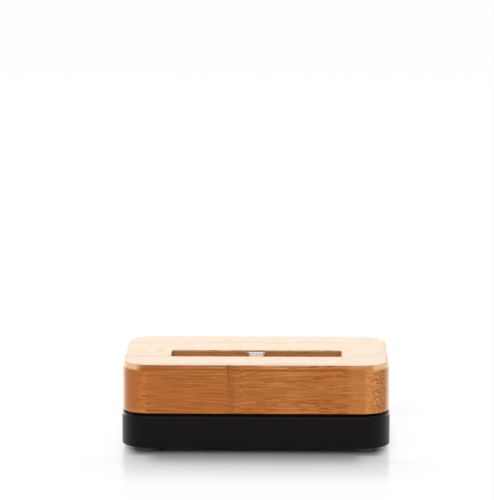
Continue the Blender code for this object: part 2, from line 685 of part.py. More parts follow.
def bottom_cover():
    """The plate that closes the base, set between its walls, with foot pockets and screw holes."""
    size = (2 * (INNER_WALL_X - SIDE_GAP), 2 * (INNER_WALL_Y - SIDE_GAP), COVER_THICKNESS)
    mesh = box("bottom_cover", size, corner=BASE_CORNER_RADIUS - WALL - SIDE_GAP)
    piece = place("bottom_cover", mesh, (0, 0, BASE_BOTTOM_Z + COVER_THICKNESS / 2), black_plastic)
    low = BASE_BOTTOM_Z - OVERRUN
    pockets = []
    for x, y in foot_places.values():
        pockets.append((x, y, low, BASE_BOTTOM_Z + FOOT_POCKET_DEPTH, FOOT_RADIUS + SIDE_GAP))
    for x, y in cover_screw_places.values():
        radius = COVER_SCREW_HEAD + HEAD_CLEARANCE
        pockets.append((x, y, low, BASE_BOTTOM_Z + COVER_RECESS_DEPTH, radius))
    holes = []
    for x, y in cover_screw_places.values():
        holes.append((x, y, low, COVER_TOP_Z + OVERRUN, COVER_SCREW_SHANK + HOLE_CLEARANCE))
    combine(piece, tool("cover_pockets", rods("cover_pockets", pockets, LARGE_SIDES)), "DIFFERENCE")
    combine(piece, tool("cover_holes", rods("cover_holes", holes, SMALL_SIDES)), "DIFFERENCE")
    return piece


def feet():
    """Four rubber feet, each glued in its pocket."""
    height = FOOT_STAND + FOOT_POCKET_DEPTH - FACE_GAP
    for name, (x, y) in foot_places.items():
        mesh = disc("foot_" + name, FOOT_RADIUS, height, LARGE_SIDES, bottom=FOOT_ROUND)
        place("foot_" + name, mesh, (x, y, height / 2), black_rubber)


def ballast_plate():
    """The steel plate that keeps the dock down when a device is lifted off."""
    mesh = box("ballast_plate", (BALLAST_LENGTH, BALLAST_DEPTH, BALLAST_THICKNESS),
               corner=BALLAST_CORNER_RADIUS, corner_steps=ROUND_STEPS)
    piece = place("ballast_plate", mesh, (0, BALLAST_Y, BALLAST_UNDER_Z + BALLAST_THICKNESS / 2), steel)
    low = BALLAST_UNDER_Z - OVERRUN
    recesses = []
    holes = []
    for x, y in ballast_screw_places.values():
        radius = BALLAST_SCREW_HEAD + HEAD_CLEARANCE
        recesses.append((x, y, low, BALLAST_UNDER_Z + BALLAST_RECESS_DEPTH, radius))
        holes.append((x, y, low, BALLAST_TOP_Z + OVERRUN, BALLAST_SCREW_SHANK + HOLE_CLEARANCE))
    combine(piece, tool("ballast_recesses", rods("ballast_recesses", recesses, MEDIUM_SIDES)), "DIFFERENCE")
    combine(piece, tool("ballast_holes", rods("ballast_holes", holes, SMALL_SIDES)), "DIFFERENCE")
    return piece


def circuit_board():
    """The board under the deck, with its four screw holes."""
    mesh = box("circuit_board", (BOARD_LENGTH, BOARD_DEPTH, BOARD_THICKNESS),
               corner=BOARD_CORNER_RADIUS, corner_steps=FINE_STEPS)
    piece = place("circuit_board", mesh, (0, BOARD_Y, BOARD_TOP_Z - BOARD_THICKNESS / 2), board_green)
    holes = []
    for x, y in board_screw_places.values():
        radius = BOARD_SCREW_SHANK + HOLE_CLEARANCE
        holes.append((x, y, BOARD_UNDER_Z - OVERRUN, BOARD_TOP_Z + OVERRUN, radius))
    combine(piece, tool("board_holes", rods("board_holes", holes, SMALL_SIDES)), "DIFFERENCE")
    return piece


def board_parts():
    """What is soldered under the board: chip, two capacitors and the leads' socket."""
    seat = BOARD_UNDER_Z - FACE_GAP
    chip = box("controller_chip", (CHIP_SIDE, CHIP_SIDE, CHIP_HEIGHT))
    place("controller_chip", chip, (CHIP_X, BOARD_Y, seat - CHIP_HEIGHT / 2), black_plastic)
    for name, end in (("capacitor_front", -1), ("capacitor_rear", 1)):
        can = disc(name, CAPACITOR_RADIUS, CAPACITOR_HEIGHT, MEDIUM_SIDES, bottom=CAPACITOR_ROUND)
        y = BOARD_Y + end * CAPACITOR_SPREAD / 2
        place(name, can, (CAPACITOR_X, y, seat - CAPACITOR_HEIGHT / 2), aluminium)
    socket = box("lead_socket", (SOCKET_LENGTH, SOCKET_DEPTH, SOCKET_HEIGHT))
    place("lead_socket", socket, (0, SOCKET_Y, seat - SOCKET_HEIGHT / 2), cream_nylon)


def power_inlet():
    """The metal shell of the power inlet, open to the rear, and the tongue inside it."""
    on_end = (math.pi / 2, 0, 0)
    middle_y = INLET_MOUTH_Y - INLET_DEPTH / 2
    shell = box("inlet_shell", (INLET_LENGTH, INLET_HEIGHT, INLET_DEPTH), corner=INLET_CORNER,
                corner_steps=FINE_STEPS)
    piece = place("inlet_shell", shell, (0, middle_y, INLET_Z), bright_steel, turn=on_end)
    back_y = INLET_MOUTH_Y - INLET_DEPTH + INLET_SKIN
    hollow_depth = INLET_MOUTH_Y + OVERRUN - back_y
    hollow_size = (INLET_LENGTH - 2 * INLET_SKIN, INLET_HEIGHT - 2 * INLET_SKIN, hollow_depth)
    hollow = box("inlet_hollow", hollow_size, corner=INLET_CORNER - INLET_SKIN / 2, corner_steps=FINE_STEPS)
    place_y = back_y + hollow_depth / 2
    combine(piece, tool("inlet_hollow", hollow, (0, place_y, INLET_Z), turn=on_end), "DIFFERENCE")
    tongue = box("inlet_tongue", (INLET_TONGUE_LENGTH, INLET_TONGUE_DEPTH, INLET_TONGUE_THICKNESS))
    tongue_y = back_y + FACE_GAP + INLET_TONGUE_DEPTH / 2
    place("inlet_tongue", tongue, (0, tongue_y, INLET_Z), black_plastic)


def connector_bracket():
    """The bracket on the deck: a plate, two ears for the pin, and the stop for the front arm."""
    depth = BRACKET_FRONT + BRACKET_BACK
    middle_y = PIVOT_Y + (BRACKET_BACK - BRACKET_FRONT) / 2
    plate = box("connector_bracket", (BRACKET_LENGTH, depth, BRACKET_THICKNESS),
                corner=BRACKET_CORNER_RADIUS, corner_steps=ROUND_STEPS)
    middle_z = BRACKET_TOP_Z - BRACKET_THICKNESS / 2
    piece = place("connector_bracket", plate, (0, middle_y, middle_z), bright_steel)

    ear_x = HUB_LENGTH / 2 + SIDE_GAP + EAR_THICKNESS / 2
    on_side = (0, math.pi / 2, 0)
    for name, side in (("ear_left", -1), ("ear_right", 1)):
        round_top = disc(name + "_top", EAR_RADIUS, EAR_THICKNESS, MEDIUM_SIDES)
        round_tool = tool(name + "_top", round_top, (side * ear_x, PIVOT_Y, PIVOT_Z), turn=on_side)
        upright = box(name, (EAR_THICKNESS, 2 * EAR_RADIUS, PIVOT_Z - middle_z))
        combine(piece, tool(name, upright, (side * ear_x, PIVOT_Y, (PIVOT_Z + middle_z) / 2)), "UNION")
        combine(piece, round_tool, "UNION")

    lug_top = PIVOT_Z - ARM_UNDER - FACE_GAP
    lug = box("stop_lug", (STOP_LUG_LENGTH, STOP_LUG_DEPTH, lug_top - middle_z))
    lug_y = PIVOT_Y - ARM_REACH + STOP_LUG_DEPTH / 2
    combine(piece, tool("stop_lug", lug, (0, lug_y, (lug_top + middle_z) / 2)), "UNION")

    bore_length = HUB_LENGTH + 2 * (SIDE_GAP + EAR_THICKNESS + OVERRUN)
    bore = disc("ear_bore", PIN_RADIUS + PIN_CLEARANCE, bore_length, MEDIUM_SIDES)
    combine(piece, tool("ear_bore", bore, (0, PIVOT_Y, PIVOT_Z), turn=on_side), "DIFFERENCE")

    holes = []
    for x, y in bracket_screw_places.values():
        radius = BRACKET_SCREW_SHANK + HOLE_CLEARANCE
        holes.append((x, y, LAND_Z - OVERRUN, BRACKET_TOP_Z + OVERRUN, radius))
    combine(piece, tool("bracket_holes", rods("bracket_holes", holes, SMALL_SIDES)), "DIFFERENCE")
    return piece


def pivot_pin():
    """The cross pin with its head on the left and a clip on the right."""
    ear_outside = HUB_LENGTH / 2 + SIDE_GAP + EAR_THICKNESS
    head_x = ear_outside + FACE_GAP
    tail_x = head_x + CLIP_THICKNESS + PIN_TAIL
    profile = [
        (0, tail_x),
        (PIN_RADIUS, tail_x),
        (PIN_RADIUS, -head_x),
        (PIN_HEAD_RADIUS, -head_x),
        (PIN_HEAD_RADIUS, -head_x - PIN_HEAD_LENGTH),
        (0, -head_x - PIN_HEAD_LENGTH),
    ]
    on_side = (0, math.pi / 2, 0)
    pin = turned("pivot_pin", profile, MEDIUM_SIDES)
    turn_on_z(place("pivot_pin", pin, (0, PIVOT_Y, PIVOT_Z), steel, turn=on_side))

    bore = PIN_RADIUS + PIN_CLEARANCE
    ring = [(bore, CLIP_THICKNESS), (CLIP_RADIUS, CLIP_THICKNESS), (CLIP_RADIUS, 0), (bore, 0)]
    clip = turned("pin_clip", ring, MEDIUM_SIDES, closed=True)
    turn_on_z(place("pin_clip", clip, (head_x, PIVOT_Y, PIVOT_Z), bright_steel, turn=on_side))


def connector_rocker():
    """The moulding that tips on the pin: hub, stem, front arm and rear heel."""
    on_side = (0, math.pi / 2, 0)
    hub = disc("connector_rocker", HUB_RADIUS, HUB_LENGTH, MEDIUM_SIDES)
    hub.transform(Matrix.Rotation(math.pi / 2, 4, "Y"))
    piece = place("connector_rocker", hub, (0, 0, 0), black_plastic, pivot)

    stem = box("stem", (STEM_LENGTH, STEM_THICKNESS, STEM_TOP))
    combine(piece, tool("stem", stem, (0, 0, STEM_TOP / 2), pivot), "UNION")

    arm = box("arm", (ARM_WIDTH, ARM_REACH, ARM_TOP + ARM_UNDER))
    combine(piece, tool("arm", arm, (0, -ARM_REACH / 2, (ARM_TOP - ARM_UNDER) / 2), pivot), "UNION")

    rest_drop = PIVOT_Z - BRACKET_TOP_Z - FACE_GAP - HEEL_REACH * math.sin(DEVICE_LEAN)
    heel_low = -rest_drop / math.cos(DEVICE_LEAN)
    heel = box("heel", (HEEL_WIDTH, HEEL_REACH, HEEL_THICKNESS))
    combine(piece, tool("heel", heel, (0, HEEL_REACH / 2, heel_low + HEEL_THICKNESS / 2), pivot), "UNION")

    bore = disc("hub_bore", PIN_RADIUS + PIN_CLEARANCE, HUB_LENGTH + 2 * OVERRUN, MEDIUM_SIDES)
    combine(piece, tool("hub_bore", bore, (0, 0, 0), pivot, on_side), "DIFFERENCE")

    low = TONGUE_BOTTOM - FACE_GAP
    high = STEM_TOP + OVERRUN
    size = (TONGUE_LENGTH + 2 * TONGUE_CLEARANCE, TONGUE_THICKNESS + 2 * TONGUE_CLEARANCE, high - low)
    seat = box("tongue_seat", size)
    combine(piece, tool("tongue_seat", seat, (0, 0, (low + high) / 2), pivot), "DIFFERENCE")
    return piece


def plug_collar():
    """The collar round the tongue, which stands just proud of the pad."""
    low = COLLAR_TOP - COLLAR_HEIGHT
    mesh = box("plug_collar", (COLLAR_LENGTH, COLLAR_THICKNESS, COLLAR_HEIGHT),
               corner=COLLAR_SIDE_RADIUS, corner_steps=ROUND_STEPS, top=COLLAR_ROUND)
    piece = place("plug_collar", mesh, (0, 0, (COLLAR_TOP + low) / 2), black_plastic, pivot)
    size = (TONGUE_LENGTH + 2 * TONGUE_CLEARANCE, TONGUE_THICKNESS + 2 * TONGUE_CLEARANCE,
            COLLAR_HEIGHT + 2 * OVERRUN)
    hole = box("collar_hole", size, corner=TONGUE_SIDE_RADIUS, corner_steps=ROUND_STEPS)
    combine(piece, tool("collar_hole", hole, (0, 0, (COLLAR_TOP + low) / 2), pivot), "DIFFERENCE")
    return piece


def plug_tongue():
    """The flat metal tongue that goes into the device."""
    mesh = box("plug_tongue", (TONGUE_LENGTH, TONGUE_THICKNESS, TONGUE_TOP - TONGUE_BOTTOM),
               corner=TONGUE_SIDE_RADIUS, corner_steps=ROUND_STEPS, top=TONGUE_ROUND)
    return place("plug_tongue", mesh, (0, 0, (TONGUE_TOP + TONGUE_BOTTOM) / 2), bright_steel, pivot)


def return_spring():
    """The small coil under the front arm, as a helix from the bracket up to the arm."""
    reach = SPRING_OFFSET - SPRING_RADIUS - SPRING_WIRE
    arm_z = PIVOT_Z + reach * math.tan(DEVICE_LEAN) - ARM_UNDER / math.cos(DEVICE_LEAN)
    low = BRACKET_TOP_Z + FACE_GAP + SPRING_WIRE
    high = arm_z - FACE_GAP - SPRING_WIRE
    count = int(SPRING_TURNS * SPRING_POINTS_PER_TURN)
    points = []
    for index in range(count + 1):
        share = index / count
        angle = share * SPRING_TURNS * math.tau
        around = Vector((math.cos(angle), math.sin(angle), 0)) * SPRING_RADIUS
        points.append(around + Vector((0, PIVOT_Y - SPRING_OFFSET, low + (high - low) * share)))
    return wire("return_spring", points, SPRING_WIRE, steel)


def leads():
    """Four leads from the stem's back, down through the deck's port, to the board's socket."""
    lean = Matrix.Rotation(-DEVICE_LEAN, 4, "X")
    exit_y = STEM_THICKNESS / 2 + FACE_GAP
    start = lean @ Vector((0, exit_y, LEAD_EXIT)) + Vector((0, PIVOT_Y, PIVOT_Z))
    stub = lean @ Vector((0, exit_y + LEAD_STUB, LEAD_EXIT)) + Vector((0, PIVOT_Y, PIVOT_Z))
    end = Vector((0, SOCKET_Y - SOCKET_DEPTH / 2 - FACE_GAP, BOARD_UNDER_Z - FACE_GAP - SOCKET_HEIGHT / 2))
    over_port = Vector((0, PORT_Y - PORT_DEPTH / 4, (stub.z + LAND_Z) / 2))
    in_port = Vector((0, PORT_Y, LAND_Z - DECK_THICKNESS / 2))
    under_port = Vector((0, (PORT_Y + end.y - LEAD_STUB) / 2, (DECK_UNDER_Z + end.z) / 2))
    route = [start, stub, over_port, in_port, under_port, end - Vector((0, LEAD_STUB, 0)), end]
    names = ("lead_red", "lead_white", "lead_green", "lead_black")
    for index, (name, material) in enumerate(zip(names, lead_finishes)):
        across = Vector(((index - (len(names) - 1) / 2) * LEAD_PITCH, 0, 0))
        wire(name, [point + across for point in smooth_route(route, LEAD_STEPS)], LEAD_RADIUS, material)


def all_screws():
    """Every screw, each in line with its boss."""
    for name, (x, y) in cover_screw_places.items():
        seat = (x, y, BASE_BOTTOM_Z + COVER_RECESS_DEPTH - FACE_GAP)
        screw("cover_screw_" + name, seat, COVER_SCREW_SHANK, COVER_SCREW_LENGTH,
              COVER_SCREW_HEAD, COVER_SCREW_HEAD_HEIGHT, MEDIUM_SIDES)
    for name, (x, y) in block_screw_places.items():
        screw("block_screw_" + name, (x, y, DECK_UNDER_Z - FACE_GAP), BLOCK_SCREW_SHANK,
              BLOCK_SCREW_LENGTH, BLOCK_SCREW_HEAD, BLOCK_SCREW_HEAD_HEIGHT, SMALL_SIDES)
    for name, (x, y) in board_screw_places.items():
        screw("board_screw_" + name, (x, y, BOARD_UNDER_Z - FACE_GAP), BOARD_SCREW_SHANK,
              BOARD_SCREW_LENGTH, BOARD_SCREW_HEAD, BOARD_SCREW_HEAD_HEIGHT, SMALL_SIDES)
    for name, (x, y) in ballast_screw_places.items():
        seat = (x, y, BALLAST_UNDER_Z + BALLAST_RECESS_DEPTH - FACE_GAP)
        screw("ballast_screw_" + name, seat, BALLAST_SCREW_SHANK, BALLAST_SCREW_LENGTH,
              BALLAST_SCREW_HEAD, BALLAST_SCREW_HEAD_HEIGHT, SMALL_SIDES)
    for name, (x, y) in bracket_screw_places.items():
        screw("bracket_screw_" + name, (x, y, BRACKET_TOP_Z + FACE_GAP), BRACKET_SCREW_SHANK,
              BRACKET_SCREW_LENGTH, BRACKET_SCREW_HEAD, BRACKET_SCREW_HEAD_HEIGHT, SMALL_SIDES,
              pointing_up=False)


window = window_tool()
bamboo_block(window)
seat_pad(window)
base_housing()
bottom_cover()
feet()
ballast_plate()
circuit_board()
board_parts()
power_inlet()
connector_bracket()
pivot_pin()
connector_rocker()
plug_collar()
plug_tongue()
return_spring()
leads()
all_screws()
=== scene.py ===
import math
import bpy
import numpy as np
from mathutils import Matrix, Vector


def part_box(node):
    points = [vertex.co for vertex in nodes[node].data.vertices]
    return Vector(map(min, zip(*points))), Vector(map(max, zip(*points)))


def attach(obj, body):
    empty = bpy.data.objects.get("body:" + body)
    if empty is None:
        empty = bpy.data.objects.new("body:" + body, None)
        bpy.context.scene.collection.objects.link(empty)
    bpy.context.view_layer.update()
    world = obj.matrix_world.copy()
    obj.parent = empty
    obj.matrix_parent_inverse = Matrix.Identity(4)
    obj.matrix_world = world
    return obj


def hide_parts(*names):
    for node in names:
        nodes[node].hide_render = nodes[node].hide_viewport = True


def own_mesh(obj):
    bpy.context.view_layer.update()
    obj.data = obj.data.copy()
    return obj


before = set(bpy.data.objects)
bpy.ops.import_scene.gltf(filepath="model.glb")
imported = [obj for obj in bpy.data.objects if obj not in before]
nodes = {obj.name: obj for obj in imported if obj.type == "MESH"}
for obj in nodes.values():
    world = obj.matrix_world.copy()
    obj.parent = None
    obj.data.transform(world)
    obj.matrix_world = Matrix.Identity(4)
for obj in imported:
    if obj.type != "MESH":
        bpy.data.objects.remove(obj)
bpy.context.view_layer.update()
print("frame loaded,", len(nodes), "nodes")


def nodeBox(name):
    # a CAD node's lowest and highest corners in millimetres, the unit of every shape below
    low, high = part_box(name)
    return np.array(low) * 1000, np.array(high) * 1000


# shapes

def arc(centre, radius, start, end, steps):
    # the centre plus the radius turned from one angle to the other, as rows of inset and height
    angle = np.radians(np.linspace(start, end, steps + 1))
    return np.stack([centre[0] + radius * np.cos(angle), centre[1] + radius * np.sin(angle)], 1)


def ringWeights(steps, hold=0.004):
    # a rounded rectangle's point is reach times the half size plus bow times the corner radius;
    # two more points near the ends of each straight side keep its shading flat
    turn = np.linspace(0, math.pi / 2, steps + 1) + np.arange(4)[:, None] * math.pi / 2
    reach = np.array([(1, 1), (-1, 1), (-1, -1), (1, -1)], float)[:, None, :]
    bow = np.stack([np.cos(turn), np.sin(turn)], 2) - reach
    both = np.concatenate([np.broadcast_to(reach, bow.shape), bow], 2)
    last, following = both[:, -1:], np.roll(both[:, :1], -1, axis=0)
    sides = [last * (1 - share) + following * share for share in (hold, 1 - hold)]
    return np.concatenate([both, *sides], 1).reshape(-1, 4)


def walls(half, radius, profile, centre=(0, 0), steps=16):
    # rows of a rounded rectangle: each row is drawn in by its inset and stands at its height
    weights = ringWeights(steps)
    inset, height = np.array(profile, float).T
    corner = np.maximum(radius - inset, 0.02)[:, None]
    x = centre[0] + (half[0] - inset)[:, None] * weights[:, 0] + corner * weights[:, 2]
    y = centre[1] + (half[1] - inset)[:, None] * weights[:, 1] + corner * weights[:, 3]
    return np.stack([x, y, np.broadcast_to(height[:, None], x.shape)], 2)


def holdRows(rows, hold=0.08, loop=True):
    # between far rows, two more rows a hold's width from each keep the flat between them flat
    following = np.roll(rows, -1, axis=0) if loop else rows[1:]
    start = rows if loop else rows[:-1]
    gap = np.linalg.norm(following - start, axis=2, keepdims=True)
    share = np.minimum(hold / np.maximum(gap, 1e-6), 0.3)
    near = start + (following - start) * share
    far = following - (following - start) * share
    wide = gap.min(axis=(1, 2)) > 4 * hold
    kept = np.stack([start, near, far], 1).reshape(-1, *rows.shape[1:])
    chosen = np.stack([np.ones_like(wide), wide, wide], 1).ravel()
    return kept[chosen] if loop else np.concatenate([kept[chosen], rows[-1:]])


def loft(rows, loop=False):
    # a grid of points: row after row, each joined round to its own start. A loop joins the last
    # row to the first; otherwise a middle point closes each end
    count, across = rows.shape[:2]
    first = np.arange(count if loop else count - 1)[:, None] * across
    column = np.arange(across)
    beside = (column + 1) % across
    below = (first + across) % (count * across)
    quads = np.stack([first + column, first + beside, below + beside, below + column], 2)
    quads = quads.reshape(-1, 4)
    points = rows.reshape(-1, 3)
    fans = np.zeros((0, 3), int)
    if not loop:
        low, high = len(points), len(points) + 1
        end = (count - 1) * across
        points = np.concatenate([points, rows[:1].mean(axis=1), rows[-1:].mean(axis=1)])
        start = np.stack([beside, column, np.full(across, low)], 1)
        finish = np.stack([end + column, end + beside, np.full(across, high)], 1)
        fans = np.concatenate([start, finish])
    return points, quads, fans


def turned(profile, centre, sides=48, hexShare=None):
    # a profile of radius and height carried round an upright line; a row's hex share draws its
    # circle towards a hexagon
    radius, height = np.array(profile, float).T
    angle = np.linspace(0, 2 * math.pi, sides, endpoint=False)
    hexagon = math.cos(math.pi / 6) / np.cos(angle % (math.pi / 3) - math.pi / 6)
    share = np.zeros(len(radius)) if hexShare is None else np.array(hexShare, float)
    reach = radius[:, None] * (1 + share[:, None] * (hexagon - 1))
    x = centre[0] + reach * np.cos(angle)
    y = centre[1] + reach * np.sin(angle)
    return loft(np.stack([x, y, np.broadcast_to(height[:, None], x.shape)], 2))


def joined(shells):
    # several shells as one list of points and faces
    starts = np.cumsum([0] + [len(points) for points, _, _ in shells[:-1]])
    points = np.concatenate([shell[0] for shell in shells])
    quads = np.concatenate([shell[1] + start for shell, start in zip(shells, starts)])
    fans = np.concatenate([shell[2] + start for shell, start in zip(shells, starts)])
    return points, quads, fans


def pieceFrom(name, shell, flat=None):
    # the shell as a mesh object in metres, turned so that its faces look outwards;
    # flat gives each point its place on the piece's own UV map
    points, quads, fans = shell
    corners = np.concatenate([quads[:, [0, 1, 2]], quads[:, [0, 2, 3]], fans])
    a, b, c = (points[corners[:, k]] for k in range(3))
    if np.einsum("ij,ij->", a, np.cross(b, c)) < 0:
        quads, fans = quads[:, ::-1], fans[:, ::-1]
    mesh = bpy.data.meshes.new(name)
    mesh.from_pydata((points / 1000).tolist(), [], quads.tolist() + fans.tolist())
    mesh.shade_smooth()
    if flat is not None:
        loops = np.zeros(len(mesh.loops), int)
        mesh.loops.foreach_get("vertex_index", loops)
        mesh.uv_layers.new(name="flat").data.foreach_set("uv", flat[loops].ravel())
    piece = bpy.data.objects.new(name, mesh)
    bpy.context.scene.collection.objects.link(piece)
    return piece


def carve(piece, tool, operation="DIFFERENCE"):
    # joins the tool to the piece, or cuts it away, and keeps the result as the piece's own mesh
    step = piece.modifiers.new("carve", "BOOLEAN")
    step.operation = operation
    step.solver = "EXACT"
    step.object = tool
    bpy.context.view_layer.update()
    solid = piece.evaluated_get(bpy.context.evaluated_depsgraph_get())
    mesh = bpy.data.meshes.new_from_object(solid)
    piece.modifiers.clear()
    piece.data = mesh
    mesh.shade_smooth()
    mesh.set_sharp_from_angle(angle=math.radians(38))
    bpy.data.objects.remove(tool)


def settle(piece, body, finish, slotName, *replaced):
    # the finish, the body that the piece rides on, and the CAD nodes that it stands for
    piece.data.materials.clear()
    piece.data.materials.append(finish)
    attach(piece, body)
    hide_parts(*replaced)


# shader sums

class Wire:
    # one output of a node; Python's operators on it add Math nodes
    def __init__(self, kit, socket):
        self.kit = kit
        self.socket = socket

    def __add__(self, other):
        return self.kit.sums("ADD", self, other)

    def __radd__(self, other):
        return self.kit.sums("ADD", other, self)

    def __sub__(self, other):
        return self.kit.sums("SUBTRACT", self, other)

    def __rsub__(self, other):
        return self.kit.sums("SUBTRACT", other, self)

    def __mul__(self, other):
        return self.kit.sums("MULTIPLY", self, other)

    def __rmul__(self, other):
        return self.kit.sums("MULTIPLY", other, self)

    def __truediv__(self, other):
        return self.kit.sums("DIVIDE", self, other)

    def __mod__(self, other):
        return self.kit.sums("FLOORED_MODULO", self, other)

    def __pow__(self, other):
        return self.kit.sums("POWER", self, other)

    def __gt__(self, other):
        return self.kit.sums("GREATER_THAN", self, other)

    def __lt__(self, other):
        return self.kit.sums("LESS_THAN", self, other)

    def __abs__(self):
        return self.kit.sums("ABSOLUTE", self)

    def __floor__(self):
        return self.kit.sums("FLOOR", self)


class Kit:
    # a node tree: node makes every node in it, and the other methods are short forms of that
    def __init__(self, tree):
        self.tree = tree
        self.tree.nodes.clear()

    def node(self, kind, settings=None, sockets=None, output=0):
        made = self.tree.nodes.new("ShaderNode" + kind)
        for name, value in (settings or {}).items():
            setattr(made, name, value)
        for name, value in (sockets or {}).items():
            if isinstance(value, Wire):
                self.tree.links.new(value.socket, made.inputs[name])
            else:
                made.inputs[name].default_value = value
        if isinstance(output, tuple):
            return [Wire(self, made.outputs[name]) for name in output]
        return Wire(self, made.outputs[output]) if len(made.outputs) else None

    def sums(self, operation, *values):
        return self.node("Math", {"operation": operation}, dict(enumerate(values)))

    def blend(self, factor, first, second):
        return self.node("Mix", {"data_type": "RGBA"}, {0: factor, 6: first, 7: second}, 2)

    def rise(self, value, low, high, bottom=0.0, top=1.0):
        # a smooth step from bottom to top while the value goes from low to high
        sockets = {"Value": value, "From Min": low, "From Max": high,
                   "To Min": bottom, "To Max": top}
        return self.node("MapRange", {"interpolation_type": "SMOOTHSTEP"}, sockets)

    def scaled(self, vector, factors):
        return self.node("VectorMath", {"operation": "MULTIPLY"}, {0: vector, 1: factors})

    def moved(self, vector, offset):
        return self.node("VectorMath", {"operation": "ADD"}, {0: vector, 1: offset})

    def noise(self, vector, scale, detail=2.0, roughness=0.5):
        sockets = {"Vector": vector, "Scale": scale, "Detail": detail, "Roughness": roughness}
        return self.node("TexNoise", {}, sockets)

    def hidden(self, value):
        # a fixed chance between 0 and 1 for each whole number
        return self.node("TexWhiteNoise", {"noise_dimensions": "1D"}, {"W": value})

    def place(self):
        # the point on the piece in millimetres
        spot = self.node("TexCoord", output="Object")
        return self.node("VectorMath", {"operation": "SCALE"}, {0: spot, "Scale": 1000.0})

    def parts(self, vector):
        return self.node("SeparateXYZ", {}, {0: vector}, ("X", "Y", "Z"))

    def sight(self, otherwise=0.0):
        # 1 for a ray of sight, straight, mirrored or through glass, and otherwise the given value
        rays = ("Is Camera Ray", "Is Glossy Ray", "Is Transmission Ray")
        isCamera, isGlossy, isThrough = self.node("LightPath", output=rays)
        return self.rise(isCamera + isGlossy + isThrough, 0.0, 1.0, otherwise)


def paint(red, green, blue):
    # a colour as seen on screen, 0 to 255, as the shader wants it
    seen = np.array([red, green, blue]) / 255
    linear = np.where(seen > 0.04045, ((seen + 0.055) / 1.055) ** 2.4, seen / 12.92)
    return (*linear.tolist(), 1.0)


def shaded(colour, share):
    # the same colour, darker or lighter
    return (*(part * share for part in colour[:3]), 1.0)


def newFinish(name):
    material = bpy.data.materials.new(name)
    material.use_nodes = True
    return material, Kit(material.node_tree)


def principled(kit, fixed, varying):
    # the surface shader: fixed values stand on its own sockets, varying ones are linked
    surface = kit.node("BsdfPrincipled", {}, {**fixed, **varying})
    kit.node("OutputMaterial", {}, {"Surface": surface})


def bumped(kit, height, strength, distance):
    # height in millimetres of relief at full strength
    sockets = {"Height": height, "Strength": strength, "Distance": distance / 1000}
    return kit.node("Bump", {}, sockets)


# camera, floor and light

shot = {
    "position": (14.63, -1060.5, 244.7),  # millimetres
    "turn": (80.972, 0.0, 1.0),           # degrees
    "lens": 193.8,
}
camera = bpy.data.objects.new("camera", bpy.data.cameras.new("camera"))
bpy.context.scene.collection.objects.link(camera)
camera.location = [v / 1000 for v in shot["position"]]
camera.rotation_euler = [math.radians(v) for v in shot["turn"]]
camera.data.lens = shot["lens"]
camera.data.clip_start = 0.01
bpy.context.scene.camera = camera
bpy.context.scene.view_settings.view_transform = "Standard"

studio = {
    "worldLevel": 0.5,      # the sky's light on matt faces; sight rays find it white
    "floorSize": 30000.0,
    "aim": (0.0, 0.0, 25.0),
}
panels = {
    # middle of each panel, its size, its power in watts
    "topPanel": ((0.0, 260.0, 1300.0), (1700.0, 1000.0), 3.0),
    "frontPanel": ((-200.0, -1600.0, 930.0), (1500.0, 700.0), 15.5),
    "backPanel": ((0.0, 1500.0, 620.0), (2200.0, 900.0), 3.1),
    "leftPanel": ((-900.0, 1070.0, 130.0), (900.0, 260.0), 9.0),
    "rightPanel": ((900.0, 1070.0, 130.0), (900.0, 260.0), 5.5),
}


def areaLight(name, place, size, power):
    # a soft panel that looks at the dock: its tilt is the angle between its way and straight down
    lamp = bpy.data.lights.new(name, "AREA")
    lamp.shape = "RECTANGLE"
    lamp.size, lamp.size_y = size[0] / 1000, size[1] / 1000
    lamp.energy = power
    panel = bpy.data.objects.new(name, lamp)
    bpy.context.scene.collection.objects.link(panel)
    panel.location = [v / 1000 for v in place]
    panel.visible_camera = False
    way = np.array(studio["aim"]) - np.array(place)
    tilt = math.acos(-way[2] / np.linalg.norm(way))
    panel.rotation_euler = (tilt, 0, math.atan2(-way[0], way[1]))


for name, panel in panels.items():
    areaLight(name, *panel)

world = bpy.data.worlds.new("studio")
bpy.context.scene.world = world
world.use_nodes = True
sky = Kit(world.node_tree)
shining = {"Color": (1, 1, 1, 1), "Strength": sky.sight(studio["worldLevel"])}
sky.node("OutputWorld", {}, {"Surface": sky.node("Background", {}, shining)})

# the floor: a soft shadow near the dock that fades into plain white, partly cast by the lamps and
# partly a painted shadow in the floor's colour. Each range is where a change starts and ends in
# millimetres, and the value at its start and end
shade = {
    "half": (45.0, 25.0),                # distances are taken from a rectangle of this half size
    "sideways": (28.0, 46.0, 4.4, 1.5),  # and count this much more sideways, by how far back
    "whiteShare": (9.0, 60.0, 0.0, 0.95),
    # painted shadow: the floor's colour close to the dock
    "near": paint(190, 189, 189),
    "far": paint(250, 249, 249),
    "farRange": (1.0, 30.0),
    "cornerAcross": (36.0, 46.0),        # painted light: a little white shows in front of the corners too
    "cornerFrom": (31.0, 35.0),
    "cornerTo": (40.0, 60.0, 0.3, 0.0),
    "roughness": 0.18,
    "specular": 0.22,
}


